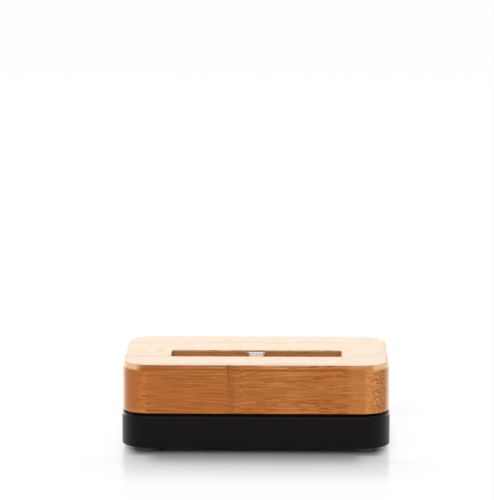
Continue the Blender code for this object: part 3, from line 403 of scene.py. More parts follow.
def floorFinish(v):
    material, kit = newFinish("whiteFloor")
    x, y, _ = kit.parts(kit.place())
    spread = kit.rise(abs(y), *v["sideways"])
    asideX = kit.sums("MAXIMUM", (abs(x) - v["half"][0]) * spread, 0.0)
    asideY = kit.sums("MAXIMUM", abs(y) - v["half"][1], 0.0)
    away = (asideX * asideX + asideY * asideY) ** 0.5
    plain = kit.rise(away, *v["whiteShare"])
    # painted light: more plain white in front of the corners
    corner = kit.rise(abs(x), *v["cornerAcross"]) * kit.rise(abs(y), *v["cornerFrom"])
    corner = corner * kit.rise(abs(y), *v["cornerTo"])
    share = (plain + (1 - plain) * corner) * kit.sight()
    # painted shadow: the floor's own colour darkens towards the dock
    tone = kit.blend(kit.rise(away, *v["farRange"]), v["near"], v["far"])
    sockets = {"Base Color": tone, "Roughness": v["roughness"], "Specular IOR Level": v["specular"]}
    pale = kit.node("BsdfPrincipled", {}, sockets)
    white = kit.node("Emission", {}, {"Color": (1, 1, 1, 1), "Strength": 1.0})
    mixed = kit.node("MixShader", {}, {0: share, 1: pale, 2: white})
    kit.node("OutputMaterial", {}, {"Surface": mixed})
    return material


half = studio["floorSize"] / 2000
ground = bpy.data.meshes.new("floor")
square = [(-half, -half, 0), (half, -half, 0), (half, half, 0), (-half, half, 0)]
ground.from_pydata(square, [], [(0, 1, 2, 3)])
ground.materials.append(floorFinish(shade))
floor = bpy.data.objects.new("floor", ground)
bpy.context.scene.collection.objects.link(floor)
print("camera, floor and light made")


# finishes

# a range is where a change starts and ends in millimetres, and the value at its start and end
bamboo = {
    "stripWidth": 5.7,                  # front to back
    "frontY": -31.4,                    # where the first strip starts
    "main": paint(190, 113, 49),
    "pale": paint(216, 151, 85),
    "deep": paint(166, 91, 32),
    "fibre": paint(118, 54, 16),
    "knuckle": paint(146, 76, 38),
    "speck": paint(214, 148, 92),
    # painted shade for the slot's inside
    "routed": paint(142, 74, 34),
    # painted highlight for the tops of the rounded corners
    "worn": paint(246, 208, 160),
    "frontKnuckle": -9.7,               # its place from the middle of the front strip
    "otherKnuckles": 170.0,             # how far along the other strips theirs are spread
    "sideRange": (-30.0, 25.0),         # strokes grow short and close towards the right
    "sideSpread": 110.0,                # how far that change moves from strip to strip
    # the front strip: deep and plain at the left end, pale and then dotted at the right end; the
    # tone of both ends is partly painted shade and painted light
    "leftEnd": (-48.0, -42.0, 1.0, 0.0),
    "rightEnd": (34.0, 39.0),
    "dotsEnd": (45.0, 47.5),
    "tipEnd": (47.0, 50.5),             # a little deeper again at the very end
    "ringMiddle": (22.0, 24.0),         # of faint arcs across the pale end
    "lineHeight": 33.9,                 # painted shade: a wavy dark line along its top, under the round
    # painted reflection: the foot of the front strip is painted paler, as the white floor shows in
    # its gloss
    "paleFoot": (17.0, 18.2, 0.3, 0.0),
    "knuckleTop": (26.0, 29.0),         # the knuckle's dark stroke is in its upper half
    # painted shade: the slot's inside is painted darker
    "slotMiddle": -6.8,
    "slotAcross": (34.5, 35.2, 1.0, 0.0),
    "slotBack": (7.4, 8.2, 1.0, 0.0),
    "slotTop": (34.7, 35.2, 0.6, 0.0),
    # painted highlight: the top of each rounded corner is painted paler, where its glossy round
    # catches light
    "cornerFrom": (41.3, 20.2),
    "wornIn": (3.1, 6.2),
    "wornFrom": (33.0, 33.9),
    "wornTo": (35.25, 35.39, 1.0, 0.2),
    # the lacquer is thin on the rounded top edge
    "edgeFrom": (33.7, 34.4),
    "edgeTo": (35.15, 35.38, 1.0, 0.0),
    "glossTint": (0.3, 0.15, 0.05, 1.0),
    "coatIor": 1.28,
    "coatRoughness": 0.3,
    "sheen": 1.0,
    "sheenRoughness": 0.3,
    "sheenTint": (1.0, 0.93, 0.72, 1.0),
}


def bambooFinish(v):
    # strips side by side, each with fibres, streaks and a knuckle from noise drawn out along X
    material, kit = newFinish("bamboo")
    spot = kit.place()
    x, y, z = kit.parts(spot)
    depth = (y - v["frontY"]) / v["stripWidth"]
    strip = math.floor(depth)
    within = depth % 1.0
    chance = kit.hidden(strip + 0.5)
    other = kit.hidden(strip + 40.5)
    isFront = strip < 0.5
    # each strip's own piece of grain, drawn out along X and pushed up where its knuckle crosses
    knuckleX = isFront * v["frontKnuckle"] + (1 - isFront) * (other - 0.5) * v["otherKnuckles"]
    offset = kit.node("CombineXYZ", {}, {"X": strip * 37.0, "Y": strip * 3.1, "Z": strip * 11.0})
    grain = kit.moved(spot, offset)
    wave = kit.noise(kit.scaled(grain, (0.02, 0.12, 0.12)), 1.0, 1.0)
    hump = kit.rise(abs(x - knuckleX - 1.5), 0.0, 5.0, 1.0, 0.0)
    bent = kit.node("CombineXYZ", {}, {"Z": (wave - 0.5) * 2.2 + hump * 0.7})
    grain = kit.moved(grain, bent)
    streaks = kit.noise(kit.scaled(grain, (0.035, 1.0, 1.0)), 1.5, 3.0, 0.66)
    hairs = kit.noise(kit.scaled(grain, (0.05, 1.0, 1.0)), 3.2, 2.0, 0.6)
    patches = kit.noise(kit.scaled(grain, (0.05, 0.3, 0.3)), 1.0, 1.0)
    side = kit.rise(x + (chance - 0.5) * (1 - isFront) * v["sideSpread"], *v["sideRange"])

    def strokes(stretch, scale, low, high):
        # dark fibres: the middles of long cells, each cell kept or left by chance
        sockets = {"Vector": kit.scaled(grain, (stretch, 1.0, 1.0)), "Scale": scale}
        cells, chosen = kit.node("TexVoronoi", {}, sockets, ("Distance", "Color"))
        return kit.rise(cells, low, high, 1.0, 0.0) * kit.rise(chosen, 0.36, 0.42)

    leftEnd = kit.rise(x, *v["leftEnd"]) * isFront
    rightEnd = kit.rise(x, *v["rightEnd"]) * isFront
    dots = kit.rise(x, *v["dotsEnd"])
    calm = (1 - 0.85 * leftEnd) * (1 - 0.75 * rightEnd * (1 - dots))
    crowd = kit.rise(patches, 0.34, 0.56, 0.55, 1.0) * calm
    longOnes, shortOnes = strokes(0.028, 1.0, 0.16, 0.26), strokes(0.1, 1.25, 0.24, 0.34)
    dashes = (longOnes * (1 - side) + shortOnes * side) * crowd
    ringX, ringZ = v["ringMiddle"]
    rings = kit.sums("SINE", ((x - ringX) ** 2.0 + (z - ringZ) ** 2.0 * 1.6) ** 0.5 * 2.3)
    # tone: 0 is deep, 0.5 the main colour and 1 pale
    tone = (streaks - 0.5) * 3.0 * calm + 0.45
    # the strips behind the front one, which make the top, are paler: partly a painted reflection of
    # the top's gloss, partly each strip's own tone
    tone = tone + (0.4 + (chance - 0.5) * 0.5) * (1 - isFront) + (side - 0.5) * 0.2
    atRight = 0.18 + 0.03 * rings * (1 - dots) - kit.rise(x, *v["tipEnd"]) * 0.4
    # painted shade and painted light: the front strip is darker at its left end and paler at its
    # right end, as if lit from the right
    tone = tone - 0.12 * leftEnd + rightEnd * atRight
    colour = kit.blend(kit.rise(tone, 0.05, 0.5), v["deep"], v["main"])
    colour = kit.blend(kit.rise(tone, 0.5, 1.0), colour, v["pale"])
    # painted shade: a wavy dark line along the top of the front, under the round, drawn like a
    # fibre
    offLine = abs(z - v["lineHeight"] - (wave - 0.5) * 1.6)
    edgeShade = kit.rise(offLine, 0.2, 0.6, 1.0, 0.0) * isFront * calm
    # painted reflection: the front strip is paler near its foot
    colour = kit.blend(kit.rise(z, *v["paleFoot"]) * isFront, colour, v["pale"])
    colour = kit.blend(kit.rise(hairs, 0.52, 0.68, 0.0, 0.5) * calm, colour, v["fibre"])
    fibresAndEdgeShade = kit.sums("MAXIMUM", dashes, edgeShade * 0.75)
    colour = kit.blend(fibresAndEdgeShade * 0.95, colour, v["fibre"])
    # the knuckle that crosses each strip once
    wobble = (kit.noise(kit.scaled(spot, (0.0, 0.35, 0.35)), 1.0) - 0.5) * 2.4
    away = x - knuckleX - wobble
    band = kit.rise(abs(away), 0.4, 2.2, 1.0, 0.0)
    colour = kit.blend(band * 0.5, colour, v["knuckle"])
    stroke = kit.rise(abs(away + 1.1), 0.12, 0.5, 1.0, 0.0) * kit.rise(z, *v["knuckleTop"])
    stroke = stroke * isFront
    colour = kit.blend(stroke * 0.8, colour, v["fibre"])
    speckles = kit.noise(kit.scaled(spot, (0.5, 1.0, 1.0)), 1.1, 3.0)
    beside = kit.rise(abs(away - 3.6), 1.0, 4.0, 1.0, 0.0) * kit.rise(speckles, 0.6, 0.66)
    colour = kit.blend(beside * 0.65, colour, v["speck"])
    # the glue line between two strips
    glue = kit.rise(abs(within - 0.5), 0.485, 0.497)
    colour = kit.blend(glue * 0.45, colour, v["deep"])
    # the slot's painted shade, the corners' painted highlight and the top edge's thin lacquer
    inside = kit.rise(abs(x), *v["slotAcross"]) * kit.rise(abs(y - v["slotMiddle"]), *v["slotBack"])
    colour = kit.blend(inside * kit.rise(z, *v["slotTop"]), colour, v["routed"])
    cornerX, cornerY = v["cornerFrom"]
    nook = kit.sums("MINIMUM", abs(x) - cornerX, abs(y) - cornerY)
    # painted highlight: the tops of the rounded corners are painted paler
    worn = kit.rise(nook, *v["wornIn"]) * kit.rise(z, *v["wornFrom"]) * kit.rise(z, *v["wornTo"])
    colour = kit.blend(worn * 0.72, colour, v["worn"])
    edge = kit.rise(z, *v["edgeFrom"]) * kit.rise(z, *v["edgeTo"])
    relief = streaks * 0.5 + hairs * 0.4 - dashes * 0.5 - glue * 0.6 + band * 0.4
    roughness = 0.33 + 0.16 * (hairs - 0.5) + 0.12 * dashes + 0.2 * edge
    fixed = {
        "IOR": 1.5,
        "Specular Tint": v["glossTint"],
        "Coat IOR": v["coatIor"],
        "Coat Roughness": v["coatRoughness"],
        "Sheen Weight": v["sheen"],
        "Sheen Roughness": v["sheenRoughness"],
        "Sheen Tint": v["sheenTint"],
    }
    varying = {"Base Color": colour, "Roughness": roughness, "Coat Weight": 1 - 0.6 * edge,
               "Normal": bumped(kit, relief, 0.6, 0.05)}
    principled(kit, fixed, varying)
    return material


def mouldedFinish(name, colour, roughness, ior=1.45, pebble=0.28, relief=0.012, tint=1.0):
    # moulded plastic or rubber: a fine pebbled skin with a slow change in its gloss
    material, kit = newFinish(name)
    spot = kit.place()
    pebbles = kit.noise(spot, 1 / pebble, 2.0, 0.6)
    slow = kit.noise(spot, 0.06, 2.0)
    tone = kit.blend((slow - 0.5) * 0.8 + 0.5, shaded(colour, 0.85), shaded(colour, 1.15))
    rough = roughness + 0.1 * (slow - 0.5) + 0.08 * (pebbles - 0.5)
    fixed = {"IOR": ior, "Specular Tint": (tint, tint, tint, 1.0)}
    varying = {"Base Color": tone, "Roughness": rough, "Normal": bumped(kit, pebbles, 0.7, relief)}
    principled(kit, fixed, varying)
    return material


def metalFinish(name, colour, roughness, along, relief=0.004):
    # metal with fine lines left by rolling or drawing: noise drawn out along one axis
    material, kit = newFinish(name)
    spot = kit.place()
    lines = kit.noise(kit.scaled(spot, along), 6.0, 3.0, 0.7)
    clouds = kit.noise(spot, 0.35, 3.0)
    tone = kit.blend(kit.rise(clouds, 0.3, 0.7), shaded(colour, 0.86), colour)
    rough = roughness + 0.22 * (lines - 0.5) + 0.12 * (clouds - 0.5)
    varying = {"Base Color": tone, "Roughness": rough, "Normal": bumped(kit, lines, 0.5, relief)}
    principled(kit, {"Metallic": 1.0}, varying)
    return material


laminate = {
    "pitch": 1.1,                        # between tracks
    "runX": 9.0,                         # the length of a track along X, and along Y
    "runY": 7.0,
    "trackHalf": (0.12, 0.18, 1.0, 0.0),
    "lacquer": paint(20, 74, 44),
    "track": paint(44, 112, 66),
}


def laminateFinish(v):
    # green lacquer over copper tracks: lines along one lattice, each kept or left by chance
    material, kit = newFinish("boardLaminate")
    spot = kit.place()
    x, y, _ = kit.parts(spot)
    acrossX, acrossY = x / v["pitch"], y / v["pitch"]
    upright = kit.hidden(math.floor(acrossX) + math.floor(y / v["runY"]) * 31.0) > 0.45
    level = kit.hidden(math.floor(acrossY) + math.floor(x / v["runX"]) * 47.0 + 500.0) > 0.55
    alongY = kit.rise(abs(acrossX % 1.0 - 0.5), *v["trackHalf"]) * upright
    alongX = kit.rise(abs(acrossY % 1.0 - 0.5), *v["trackHalf"]) * level
    track = kit.sums("MAXIMUM", alongX, alongY)
    colour = kit.blend(track, v["lacquer"], v["track"])
    weave = kit.noise(spot, 2.4, 2.0)
    varying = {"Base Color": colour, "Roughness": 0.3 + 0.12 * (weave - 0.5),
               "Normal": bumped(kit, track + weave * 0.3, 0.6, 0.03)}
    principled(kit, {}, varying)
    return material


def contactFinish(name, body, metal, pitch, count, low, high):
    # gold contact strips on the piece's flat map: U across and V along, in millimetres
    material, kit = newFinish(name)
    u, v, _ = kit.parts(kit.node("UVMap", {"uv_map": "flat"}))
    across = abs((u / pitch) % 1.0 - 0.5)
    strip = kit.rise(across, 0.27, 0.33, 1.0, 0.0) * (abs(u) < pitch * count / 2)
    strip = strip * (v > low) * (v < high)
    lines = kit.noise(kit.scaled(kit.place(), (6.0, 6.0, 0.6)), 3.0, 2.0)
    colour = kit.blend(strip, body, paint(208, 160, 76))
    rough = 0.22 + 0.16 * (lines - 0.5) + (strip * 0.14 if metal else (1 - strip) * 0.25)
    varying = {"Base Color": colour, "Roughness": rough, "Metallic": 1.0 if metal else strip,
               "Normal": bumped(kit, lines * 0.2 - strip * 0.6, 0.6, 0.03)}
    principled(kit, {}, varying)
    return material


def capacitorFinish():
    # a printed dark stripe down one side of the can
    material, kit = newFinish("aluminium")
    spot = kit.place()
    x, _, _ = kit.parts(spot)
    lines = kit.noise(kit.scaled(spot, (0.5, 0.5, 6.0)), 5.0, 2.0)
    stripe = kit.rise(x, 8.2, 8.5, 1.0, 0.0)
    colour = kit.blend(stripe, paint(214, 216, 218), paint(40, 40, 44))
    varying = {"Base Color": colour, "Roughness": 0.28 + 0.2 * (lines - 0.5),
               "Metallic": 1 - stripe, "Normal": bumped(kit, lines, 0.4, 0.004)}
    principled(kit, {}, varying)
    return material


finishes = {
    "bamboo": bambooFinish(bamboo),
    "black_shell": mouldedFinish("blackShell", paint(18, 16, 17), 0.42, relief=0.01, tint=0.15),
    "black_plastic": mouldedFinish("blackPlastic", paint(30, 30, 31), 0.48, ior=1.4),
    "black_rubber": mouldedFinish(
        "blackRubber", paint(98, 94, 92), 0.75, ior=1.3, pebble=0.4, relief=0.03),
    "silicone": mouldedFinish(
        "greySilicone", paint(62, 58, 57), 0.7, ior=1.35, pebble=0.5, relief=0.02),
    "steel": metalFinish("steel", paint(188, 189, 191), 0.34, (1.0, 0.05, 0.4)),
    "bright_steel": metalFinish("brightSteel", paint(216, 217, 219), 0.22, (0.08, 1.0, 1.0)),
    "board_laminate": laminateFinish(laminate),
    "aluminium": capacitorFinish(),
    "cream_nylon": mouldedFinish("creamNylon", paint(222, 214, 192), 0.45, pebble=0.35),
}
leadColours = {
    "red": paint(176, 30, 28),
    "white": paint(226, 225, 220),
    "green": paint(32, 138, 58),
    "black": paint(36, 36, 37),
}
for name, colour in leadColours.items():
    finishes[name + "_lead"] = mouldedFinish(name + "Lead", colour, 0.4, pebble=0.6, relief=0.01)
for node in nodes.values():
    for place in node.material_slots:
        place.material = finishes[place.material.name.split(".")[0]]
print("finishes made:", len(finishes))


# the leaning line of the plug and slot

lean = {"angle": 12.0, "pivotY": -9.2183, "pivotZ": 21.2}
leanSin, leanCos = math.sin(math.radians(lean["angle"])), math.cos(math.radians(lean["angle"]))


def leaned(rows):
    # across and up the plug's own line, turned back about the pin
    x, across, up = np.moveaxis(rows, -1, 0)
    y = lean["pivotY"] + across * leanCos + up * leanSin
    z = lean["pivotZ"] - across * leanSin + up * leanCos
    return np.stack([x, y, z], -1)


def cutLevel(rows):
    # leaning walls cut off level: each point slides along the lean until it is at its row's height
    x, across, height = np.moveaxis(rows, -1, 0)
    up = (height - lean["pivotZ"] + across * leanSin) / leanCos
    return leaned(np.stack([x, across, up], -1))


# bamboo block

block = {
    "corner": 10.7,
    "topRound": 1.6,
    "footRound": 0.6,
    "slotHalf": (34.0, 6.0645),
    "slotCorner": 1.5,
    "mouthRound": 0.4,
    "slotFloor": 7.1172,          # up the lean from the pin
    "windowHalf": (5.1, 3.46),
    "windowMiddle": -0.86,
    "innerCorner": 1.5,           # of the window and the pocket
    "pocketHalf": (14.5, 11.8),
    "pocketMiddle": -7.72,
    "pocketTop": 24.6,
    "blindHoles": (("block_screw", 15.0, 0.3, 1.7),),
}


def bambooBlock(v):
    # up the outside, over the top, down the slot, through its window and pocket, and back
    # along the underside: a ring of rows that closes on itself
    low, high = nodeBox("bamboo_block")
    outer = high[:2]
    rim, foot, mouth = v["topRound"], v["footRound"], v["mouthRound"]
    outside = np.concatenate([
        arc((foot, low[2] + foot), foot, 270, 180, 5),
        arc((rim, high[2] - rim), rim, 180, 90, 10),
    ])
    edge = arc((-mouth, high[2] - mouth), mouth, 90, 0, 5)
    slotRows = cutLevel(walls(v["slotHalf"], v["slotCorner"], edge))
    floorRow = leaned(walls(v["slotHalf"], v["slotCorner"], [(0, v["slotFloor"])]))
    middle = (0, v["windowMiddle"])
    corner = v["innerCorner"]
    windowTop = leaned(walls(v["windowHalf"], corner, [(0, v["slotFloor"])], middle))
    windowLow = cutLevel(walls(v["windowHalf"], corner, [(0, v["pocketTop"])], middle))
    pocket = [(0, v["pocketTop"]), (0, low[2])]
    pocketRows = walls(v["pocketHalf"], corner, pocket, (0, v["pocketMiddle"]))
    outerRows = walls(outer, v["corner"], outside)
    rows = [outerRows, slotRows, floorRow, windowTop, windowLow, pocketRows]
    return loft(holdRows(np.concatenate(rows)), loop=True)


def pegs(places, sides=24):
    # upright rods as one tool, each x, y, low, high, radius
    return joined([turned([(r, low), (r, high)], (x, y), sides) for x, y, low, high, r in places])


def screwSpots(prefix):
    # middle and height of every screw whose node starts with these words
    boxes = [nodeBox(name) for name in sorted(nodes) if name.startswith(prefix)]
    return [(*((low + high) / 2)[:2], low[2], high[2]) for low, high in boxes]


def blindPegs(groups):
    # a rod at each screw of each group: its foot, how far past the screw's tip, its radius
    return [(x, y, foot, tip + past, radius)
            for group, foot, past, radius in groups for x, y, _, tip in screwSpots(group)]


def throughPegs(groups):
    # a rod at each screw of each group: its foot, its top and its radius
    return [(x, y, foot, top, radius)
            for group, foot, top, radius in groups for x, y, _, _ in screwSpots(group)]


blockPiece = pieceFrom("bambooBlock", bambooBlock(block))
carve(blockPiece, pieceFrom("blockHoles", pegs(blindPegs(block["blindHoles"]))))
settle(blockPiece, "dock", finishes["bamboo"], "bamboo", "bamboo_block")
print("bamboo block made")


# black base

base = {
    "corner": 11.0,
    "rimRound": 0.9,
    "footRound": 0.4,
    "rimHeight": 15.2,
    "landHalf": (50.2, 29.1),
    "landCorner": 8.4,
    "landRound": 0.2,
    "deckUnder": 13.2,
    "innerHalf": (50.4, 29.3),
    "innerCorner": 8.6,
    "innerRound": 0.5,
    "portHalf": (3.7, 1.8),
    "portCorner": 1.2,
    "portMiddle": 0.7817,
    "inletRecess": (6.25, 3.6, 2.0, 0.9),      # half length, half height, corner, depth
    "inletHole": (4.15, 1.75, 0.9),
    "inletReach": (4.0, 1.0),                  # how far its tools go in and out of the rear face
    "lipRound": 0.25,
    # each group's foot, top and radius; the bosses go 0.6 into the deck
    "bosses": (
        ("cover_screw", 5.2, 13.8, 3.0),
        ("ballast_screw", 10.0, 13.8, 3.0),
        ("board_screw", 11.2, 13.8, 2.4),
        ("bracket_screw", 11.2, 13.8, 2.6),
    ),
    "throughHoles": (
        ("bracket_screw", 9.0, 17.0, 1.4),
        ("block_screw", 9.0, 17.0, 1.7),
    ),
    # each group's foot, how far past the screw's tip, and its radius
    "blindHoles": (
        ("cover_screw", 4.0, 0.3, 1.6),
        ("ballast_screw", 8.0, 0.3, 1.6),
        ("board_screw", 9.0, 0.2, 1.3),
    ),
}


def baseShell(v):
    # up the outside, over the rim, up the land, down the lead port and along the inside
    low, high = nodeBox("base_housing")
    outer = high[:2]
    foot, rim, lip, inner = v["footRound"], v["rimRound"], v["landRound"], v["innerRound"]
    outside = np.concatenate([
        arc((foot, low[2] + foot), foot, 270, 180, 4),
        arc((rim, v["rimHeight"] - rim), rim, 180, 90, 8),
    ])
    land = np.concatenate([[(0, v["rimHeight"])], arc((lip, high[2] - lip), lip, 180, 90, 3)])
    port = [(0, high[2]), (0, v["deckUnder"])]
    inside = arc((inner, v["deckUnder"] - inner), inner, 90, 180, 3)
    inside = np.concatenate([inside, [(0, low[2])]])
    rows = [
        walls(outer, v["corner"], outside),
        walls(v["landHalf"], v["landCorner"], land),
        walls(v["portHalf"], v["portCorner"], port, (0, v["portMiddle"])),
        walls(v["innerHalf"], v["innerCorner"], inside),
    ]
    return loft(holdRows(np.concatenate(rows)), loop=True)


def fromBehind(rows, level):
    # rows drawn flat, stood up so that their height runs from front to back
    x, up, back = np.moveaxis(rows, -1, 0)
    return np.stack([x, back, up + level], -1)


def inletTools(v, level, rear):
    # the shallow recess with its rounded lip, and the hole through the wall
    halfX, halfZ, corner, depth = v["inletRecess"]
    lip = v["lipRound"]
    inward, outward = v["inletReach"]
    profile = np.concatenate([
        [(0, rear - depth)],
        arc((-lip, rear - lip), lip, 0, 90, 4),
        [(-lip, rear + outward)],
    ])
    recess = loft(fromBehind(walls((halfX, halfZ), corner, profile, steps=8), level))
    holeX, holeZ, holeCorner = v["inletHole"]
    through = [(0, rear - inward), (0, rear + outward)]
    hole = loft(fromBehind(walls((holeX, holeZ), holeCorner, through, steps=8), level))
    return recess, hole


basePiece = pieceFrom("baseShell", baseShell(base))
bosses = pegs(throughPegs(base["bosses"]), sides=32)
carve(basePiece, pieceFrom("bosses", bosses), "UNION")
holes = blindPegs(base["blindHoles"]) + throughPegs(base["throughHoles"])
carve(basePiece, pieceFrom("baseHoles", pegs(holes)))
inletLow, inletHigh = nodeBox("inlet_shell")
inletLevel = (inletLow[2] + inletHigh[2]) / 2
recess, hole = inletTools(base, inletLevel, nodeBox("base_housing")[1][1])
carve(basePiece, pieceFrom("inletRecess", recess))
carve(basePiece, pieceFrom("inletHole", hole))
settle(basePiece, "dock", finishes["black_shell"], "black_shell", "base_housing")
print("base made")


# seat pad with its ribs

pad = {
    "half": (33.5, 5.5645),
    "corner": 1.0,
    "bottom": 7.4172,
    "top": 8.3172,
    "edge": 0.25,
    "windowEdge": 0.15,
    "ribRows": (-4.2, -2.1, 0.0, 2.1, 4.2),
    "ribMiddle": 19.6,
    "ribHalf": (12.4, 0.42),
    "ribHeight": 0.2,
    "ribSunk": 0.1,
}


def seatPad(v):
    # the pad goes up its outside, over, and down through the plug's window
    top, edge, lip = v["top"], v["edge"], v["windowEdge"]
    outside = np.concatenate([[(0, v["bottom"])], arc((edge, top - edge), edge, 180, 90, 4)])
    inside = np.concatenate([arc((-lip, top - lip), lip, 90, 0, 3), [(0, v["bottom"])]])
    outer = walls(v["half"], v["corner"], outside, steps=8)
    middle = (0, block["windowMiddle"])
    window = walls(block["windowHalf"], block["innerCorner"], inside, middle, steps=8)
    return loft(holdRows(leaned(np.concatenate([outer, window]))), loop=True)


def ribs(v):
    # long low domes: a row's inset and height follow a quarter of an ellipse
    angle = np.radians(np.linspace(0, 84, 6))
    width = v["ribHalf"][1]
    dome = np.stack([width * (1 - np.cos(angle)), v["top"] + v["ribHeight"] * np.sin(angle)], 1)
    dome = np.concatenate([[(0, v["top"] - v["ribSunk"])], dome])
    one = walls(v["ribHalf"], width, dome, steps=4)
    spots = [(side * v["ribMiddle"], across, 0) for side in (-1, 1) for across in v["ribRows"]]
    return [loft(leaned(one + np.array(spot))) for spot in spots]


padPiece = pieceFrom("seatPad", joined([seatPad(pad), *ribs(pad)]))
settle(padPiece, "dock", finishes["silicone"], "silicone", "seat_pad")
print("seat pad made")


# plug: collar and tongue

plug = {
    "collarHalf": (4.5, 1.95),
    "collarCorner": 1.9,
    "collarLow": 6.2172,
    "collarTop": 8.5172,
    "collarRound": 0.3,
    "holeRound": 0.1,
    "holeSpare": 0.2,                 # how much wider than the tongue the collar's hole is
    "tongueHalf": (3.35, 0.75),
    "tongueCorner": 0.74,
    "tongueLow": 4.5172,
    "tongueTop": 15.1172,
    "tongueSteps": 60,
    "tipRound": 0.4,
    "tipGap": 0.05,                   # from the last straight row to the tip's round
    "notch": (12.6, 0.55, 0.22),      # height up the lean, half length, depth
    "notchFrom": (2.5, 0.85),         # where the dips start, and over what width they grow
}


def plugCollar(v):
    # a ring of rows: up the outside, over the round, down the tongue's hole
    top, edge, lip = v["collarTop"], v["collarRound"], v["holeRound"]
    outside = np.concatenate([[(0, v["collarLow"])], arc((edge, top - edge), edge, 180, 90, 5)])
    hole = np.concatenate([arc((-lip, top - lip), lip, 90, 0, 2), [(0, v["collarLow"])]])
    outer = walls(v["collarHalf"], v["collarCorner"], outside, steps=10)
    inner = walls(np.array(v["tongueHalf"]) + v["holeSpare"], v["tongueCorner"], hole, steps=10)
    return loft(holdRows(leaned(np.concatenate([outer, inner])), 0.05), loop=True)


def plugTongue(v):
    # rows up the tongue; the narrow edges dip by a bell curve at the notch
    top, edge = v["tongueTop"], v["tipRound"]
    levels = np.linspace(v["tongueLow"], top - edge - v["tipGap"], v["tongueSteps"])
    profile = np.concatenate([
        [(0, height) for height in levels],
        arc((edge, top - edge), edge, 180, 96, 6),
    ])
    rows = walls(v["tongueHalf"], v["tongueCorner"], profile, steps=10)
    height, halfLength, depth = v["notch"]
    dip = depth * np.exp(-((rows[:, :, 2] - height) / halfLength) ** 4)
    start, width = v["notchFrom"]
    nearEdge = np.clip((np.abs(rows[:, :, 0]) - start) / width, 0, 1)
    rows[:, :, 0] -= np.sign(rows[:, :, 0]) * dip * nearEdge
    shell = loft(rows)
    flat = shell[0][:, [0, 2]] - np.array([0, v["collarTop"]])
    return (leaned(shell[0]), shell[1], shell[2]), flat


collarPiece = pieceFrom("plugCollar", plugCollar(plug))
settle(collarPiece, "plug", finishes["black_plastic"], "black_plastic", "plug_collar")
tongueShell, tongueFlat = plugTongue(plug)
tonguePiece = pieceFrom("plugTongue", tongueShell, tongueFlat)
steelGrey = paint(156, 157, 160)
tongueFinish = contactFinish("tongueSteel", steelGrey, True, pitch=0.62, count=8, low=3.0, high=5.6)
settle(tonguePiece, "plug", tongueFinish, "bright_steel", "plug_tongue")
print("plug made")


# return spring under the plug's front arm, which the arm presses flatter as the plug tips

coil = {
    "ahead": 4.6,                     # its axis ahead of the pin
    "radius": 1.25,
    "wire": 0.175,
    "turns": 2.5,
    "steps": 90,
    "sides": 12,
    "ease": 0.4,                      # how much flatter the wire lies at both ends
    "anchorZ": 18.1,
    "pressedShare": 0.72,
}


def springCoil(v):
    # a round wire on a helix: its height is the share of the turns less a sine that flattens both
    # ends, and each ring of points stands square to the wire
    low, high = nodeBox("return_spring")
    share = np.linspace(0, 1, v["steps"] + 1)
    turn = share * v["turns"] * 2 * math.pi
    climb = share - v["ease"] * np.sin(2 * math.pi * share) / (2 * math.pi)
    height = low[2] + v["wire"] + (high[2] - low[2] - 2 * v["wire"]) * climb
    out = np.stack([np.cos(turn), np.sin(turn), np.zeros_like(turn)], 1)
    middle = out * v["radius"]
    middle[:, 1] += lean["pivotY"] - v["ahead"]
    middle[:, 2] = height
    along = np.gradient(middle, axis=0)
    along /= np.linalg.norm(along, axis=1, keepdims=True)
    square = np.cross(out, along)
    angle = np.linspace(0, 2 * math.pi, v["sides"], endpoint=False)[:, None]
    ring = np.cos(angle) * out[:, None] + np.sin(angle) * square[:, None]
    return loft(middle[:, None] + v["wire"] * ring)


springPiece = pieceFrom("returnSpring", springCoil(coil))
settle(springPiece, "dock", finishes["steel"], "steel", "return_spring")
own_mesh(springPiece)
print("spring made")


# power inlet

inlet = {
    "half": (3.75, 1.35),
    "corner": 0.5,
    "skin": 0.35,
    "backRound": 0.3,
    "tongueHalf": (2.2, 0.3),
    "tongueCorner": 0.1,
    "tongueEdge": 0.12,
}


def inletShell(v):
    # a drawn cup: along the outside, round its lip, and back along the inside
    low, high = nodeBox("inlet_shell")
    lip, skin, back = v["skin"] / 2, v["skin"], v["backRound"]
    profile = np.concatenate([
        arc((back, low[1] + back), back, 270, 180, 3),
        arc((lip, high[1] - lip), lip, 180, 0, 6),
        [(skin, low[1] + skin)],
    ])
    rows = walls(v["half"], v["corner"], profile, steps=8)
    return loft(fromBehind(holdRows(rows, 0.05, loop=False), inletLevel))


def inletTongue(v):
    # rows from the root to the tip, drawn in by a quarter circle at the tip
    low, high = nodeBox("inlet_tongue")
    edge = v["tongueEdge"]
    profile = np.concatenate([[(0, low[1])], arc((edge, high[1] - edge), edge, 180, 96, 3)])
    rows = walls(v["tongueHalf"], v["tongueCorner"], profile, steps=3)
    rows = holdRows(rows, 0.05, loop=False)
    points, quads, fans = loft(rows)
    flat = points[:, [0, 2]] - np.array([0, low[1]])
    return (fromBehind(points, inletLevel), quads, fans), flat


inletPiece = pieceFrom("inletShell", inletShell(inlet))
settle(inletPiece, "dock", finishes["bright_steel"], "bright_steel", "inlet_shell")
barShell, barFlat = inletTongue(inlet)
barPiece = pieceFrom("inletTongue", barShell, barFlat)
barBlack = paint(26, 26, 27)
barFinish = contactFinish("inletContacts", barBlack, False, pitch=0.65, count=5, low=0.4, high=3.6)
settle(barPiece, "dock", barFinish, "black_plastic", "inlet_tongue")
print("inlet made")


# feet and cover screws

foot = {
    "radius": 5.25,
    "edge": 0.45,
    "grooves": (1.5, 2.8, 4.1),       # radius of each ring groove
    "grooveDepth": 0.14,
    "grooveWidth": 0.45,
    "topEdge": 0.15,
    "soleSteps": 60,
    "pinhole": 0.05,                   # a turned end starts this far from its axis
}


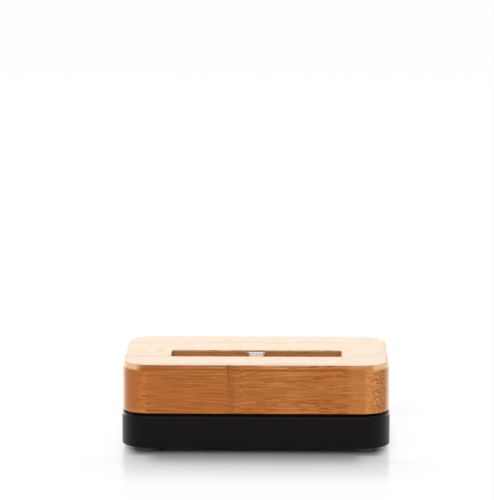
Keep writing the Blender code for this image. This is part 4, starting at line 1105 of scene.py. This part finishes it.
def rubberFoot(v, low, high):
    # turned: the flat top in its pocket, the side, the rounded edge and a ringed sole
    radius = np.linspace(v["radius"] - v["edge"], v["pinhole"], v["soleSteps"])
    sole = np.full(v["soleSteps"], low[2])
    for ring in v["grooves"]:
        sole += v["grooveDepth"] * np.exp(-((radius - ring) / (v["grooveWidth"] / 2)) ** 4)
    side = arc((v["radius"] - v["edge"], low[2] + v["edge"]), v["edge"], 0, -85, 6)
    top = [(v["pinhole"], high[2]), (v["radius"] - v["topEdge"], high[2]),
           (v["radius"], high[2] - v["topEdge"])]
    profile = np.concatenate([top, side, np.stack([radius, sole], 1)])
    return turned(profile, (low[:2] + high[:2]) / 2, sides=64)


screw = {
    "head": 2.6,
    "shank": 1.3,
    "headHeight": 1.0,
    "headRound": 0.3,
    "recess": 1.3,
    "recessDepth": 0.6,
    "recessEdge": 0.08,
    "neckEdge": 0.1,
    "pitch": 0.5,
    "threadDepth": 0.22,
    "threadFrom": 0.8,                 # above the head
    "plainTip": 1.3,
    "tipShare": 0.6,                   # of the shank's radius
    "pinhole": 0.05,
}


def coverScrew(v, low, high):
    # from the floor of the hex recess out over the head, and up the threaded shank
    under = low[2] + v["headHeight"]
    floorZ = low[2] + v["recessDepth"]
    threads = np.arange(under + v["threadFrom"], high[2] - v["plainTip"], v["pitch"] / 2)
    depth = np.where(np.arange(len(threads)) % 2, 0.0, v["threadDepth"])
    small, edge, neck, bend = v["pinhole"], v["recessEdge"], v["neckEdge"], v["headRound"]
    face = [(small, floorZ), (v["recess"] - small, floorZ), (v["recess"], floorZ - small),
            (v["recess"], low[2] + edge), (v["recess"] + edge, low[2])]
    head = arc((v["head"] - bend, low[2] + bend), bend, -90, 0, 5)
    body = [(v["head"], under), (v["shank"] + neck, under), (v["shank"], under + neck)]
    thread = np.stack([v["shank"] - depth, threads], 1)
    tip = [(v["shank"] * v["tipShare"], high[2]), (small, high[2])]
    profile = np.concatenate([face, head, body, thread, tip])
    share = np.zeros(len(profile))
    share[:len(face) - 1] = 1.0
    return turned(profile, (low[:2] + high[:2]) / 2, hexShare=share)


for name in sorted(nodes):
    low, high = nodeBox(name)
    label = name.replace("_", " ").title().replace(" ", "")
    label = label[0].lower() + label[1:]
    if name.startswith("foot_"):
        piece = pieceFrom(label, rubberFoot(foot, low, high))
        settle(piece, "dock", finishes["black_rubber"], "black_rubber", name)
    if name.startswith("cover_screw"):
        piece = pieceFrom(label, coverScrew(screw, low, high))
        settle(piece, "dock", finishes["steel"], "steel", name)
print("feet and cover screws made")
